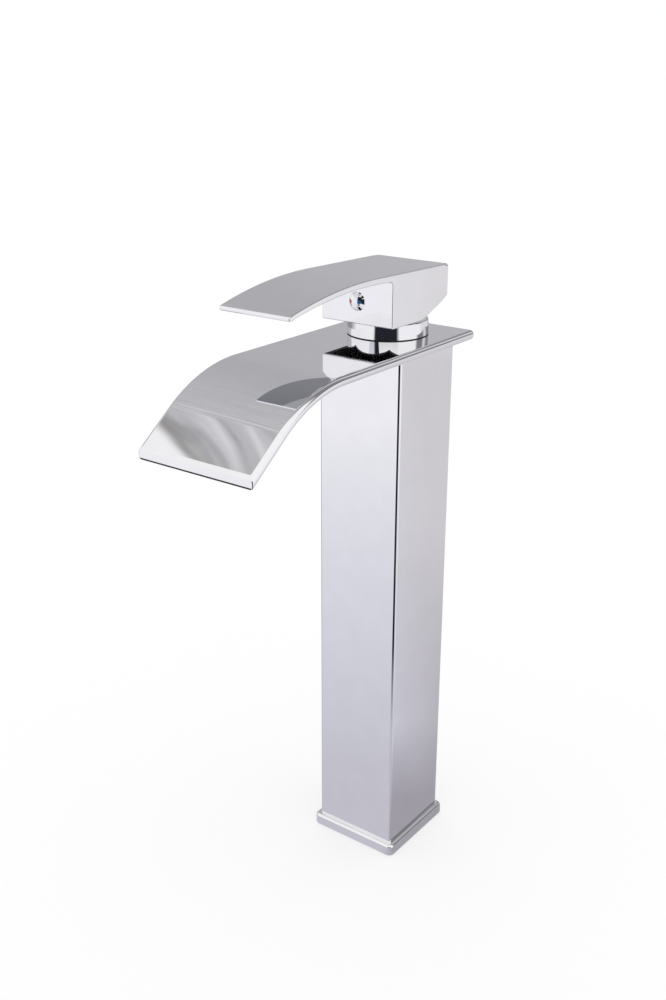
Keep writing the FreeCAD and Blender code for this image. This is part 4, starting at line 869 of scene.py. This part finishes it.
def white_tent():
    """The tent round the tap: plain white, and for a mirror its grey cloth with folds and its dark opening."""
    made = bpy.data.worlds.new("white_tent")
    made.use_nodes = True
    tree = made.node_tree
    tree.nodes.clear()
    way = node(tree, "ShaderNodeTexCoord").outputs["Generated"]
    turn, rise = compass(tree, way)

    # White wall, grey cloth, a dark fold at the back, a white gap, a dark board and white wall again
    cloth = node(tree, "ShaderNodeValToRGB", {"Fac": turn}, stops=around(
        (-112, "#ffffff"), (-101, "#c6c6c8"), (-45, "#b2b2b6"), (-30, "#bababe"), (-17, "#aaa8ac"),
        (-9, "#848488"), (5, "#848488"), (22, "#eaeaec"), (32, "#848488"), (52, "#848488"),
        (60, "#ffffff"))).outputs["Color"]
    sides = node(tree, "ShaderNodeValToRGB", {"Fac": turn}, stops=around(
        (-180, "#0000ff"), (-174, "#000000"), (-125, "#00ff00"), (-110, "#b0ff00"), (-94, "#b0ff00"),
        (-86, "#680000"), (-60, "#3c0000"), (-36, "#000000"), (112, "#000000"), (121, "#0000ff"),
        (180, "#0000ff")))
    side = node(tree, "ShaderNodeSeparateColor", {"Color": sides.outputs["Color"]}).outputs

    # Folds in the cloth, drawn on the distance from their middle and the way along them
    from_middle = node(tree, "ShaderNodeVectorMath", {0: way, 1: FOLD_MIDDLE}, operation="DISTANCE")
    along = node(tree, "ShaderNodeVectorMath", {0: way, 1: FOLD_ALONG}, operation="DOT_PRODUCT")
    place = node(tree, "ShaderNodeCombineXYZ", {"X": from_middle.outputs["Value"],
                                                "Y": along.outputs["Value"]}).outputs["Vector"]
    folds = node(tree, "ShaderNodeTexNoise", {"Vector": place, "Scale": FOLD_SCALE, "Detail": 3.0,
                                              "Roughness": 0.55, "Distortion": 0.5}).outputs["Fac"]

    # The hem, and the opening below its top
    hem = node(tree, "ShaderNodeVectorMath", {0: way, 1: CLOTH_HEM}, operation="DOT_PRODUCT").outputs["Value"]
    near_hem = node(tree, "ShaderNodeMapRange", {"Value": hem, "From Min": HEM_RIDGE[0],
                                                 "From Max": HEM_RIDGE[1]})
    ridge = node(tree, "ShaderNodeValToRGB", {"Fac": near_hem.outputs["Result"]}, stops=(
        (0.0, "#ffffff"), (0.4, "#ffffff"), (0.6, "#cdc9c4"), (0.72, "#ffffff"))).outputs["Color"]
    past = node(tree, "ShaderNodeMapRange", {"Value": hem, "From Min": HEM_EDGE[0], "From Max": HEM_EDGE[1]},
                interpolation_type="SMOOTHSTEP")
    bare = node(tree, "ShaderNodeMath", {0: past.outputs["Result"], 1: side["Green"]}, operation="MULTIPLY")
    low = node(tree, "ShaderNodeMapRange", {"Value": rise, "From Min": OPENING_TOP[0],
                                            "From Max": OPENING_TOP[1]})
    dark = node(tree, "ShaderNodeMath", {0: low.outputs["Result"], 1: side["Blue"]}, operation="MULTIPLY")

    tone = layered(tree, cloth, (side["Red"], folds, "LINEAR_LIGHT"), (side["Green"], ridge, "MULTIPLY"),
                   (bare.outputs["Value"], linear("#fbfbfc"), "MIX"),
                   (dark.outputs["Value"], linear("#24252d"), "MIX"))
    plain = node(tree, "ShaderNodeBackground", {"Color": linear("#ffffff")}).outputs["Background"]
    mirrored = node(tree, "ShaderNodeBackground", {"Color": tone}).outputs["Background"]
    ray = node(tree, "ShaderNodeLightPath").outputs
    all_rays = node(tree, "ShaderNodeMixShader", {0: ray["Is Glossy Ray"], 1: plain, 2: mirrored})
    node(tree, "ShaderNodeOutputWorld", {"Surface": all_rays.outputs["Shader"]})
    return made


floor_mesh = bpy.data.meshes.new("studio_floor")
floor_mesh.from_pydata(lifted(np.array(((-1, -1), (1, -1), (1, 1), (-1, 1))) * FLOOR_HALF, 0).tolist(), [],
                       [(0, 1, 2, 3)])
floor_mesh.materials.append(floor_paint())
floor = bpy.data.objects.new("studio_floor", floor_mesh)
bpy.context.scene.collection.objects.link(floor)
bpy.context.scene.world = white_tent()

lamp = bpy.data.objects.new("soft_overhead_lamp", bpy.data.lights.new("soft_overhead_lamp", "SUN"))
lamp.data.energy = LAMP_STRENGTH
lamp.data.angle = LAMP_SPREAD
lamp.visible_glossy = False
bpy.context.scene.collection.objects.link(lamp)

bpy.context.scene.view_settings.view_transform = "Standard"
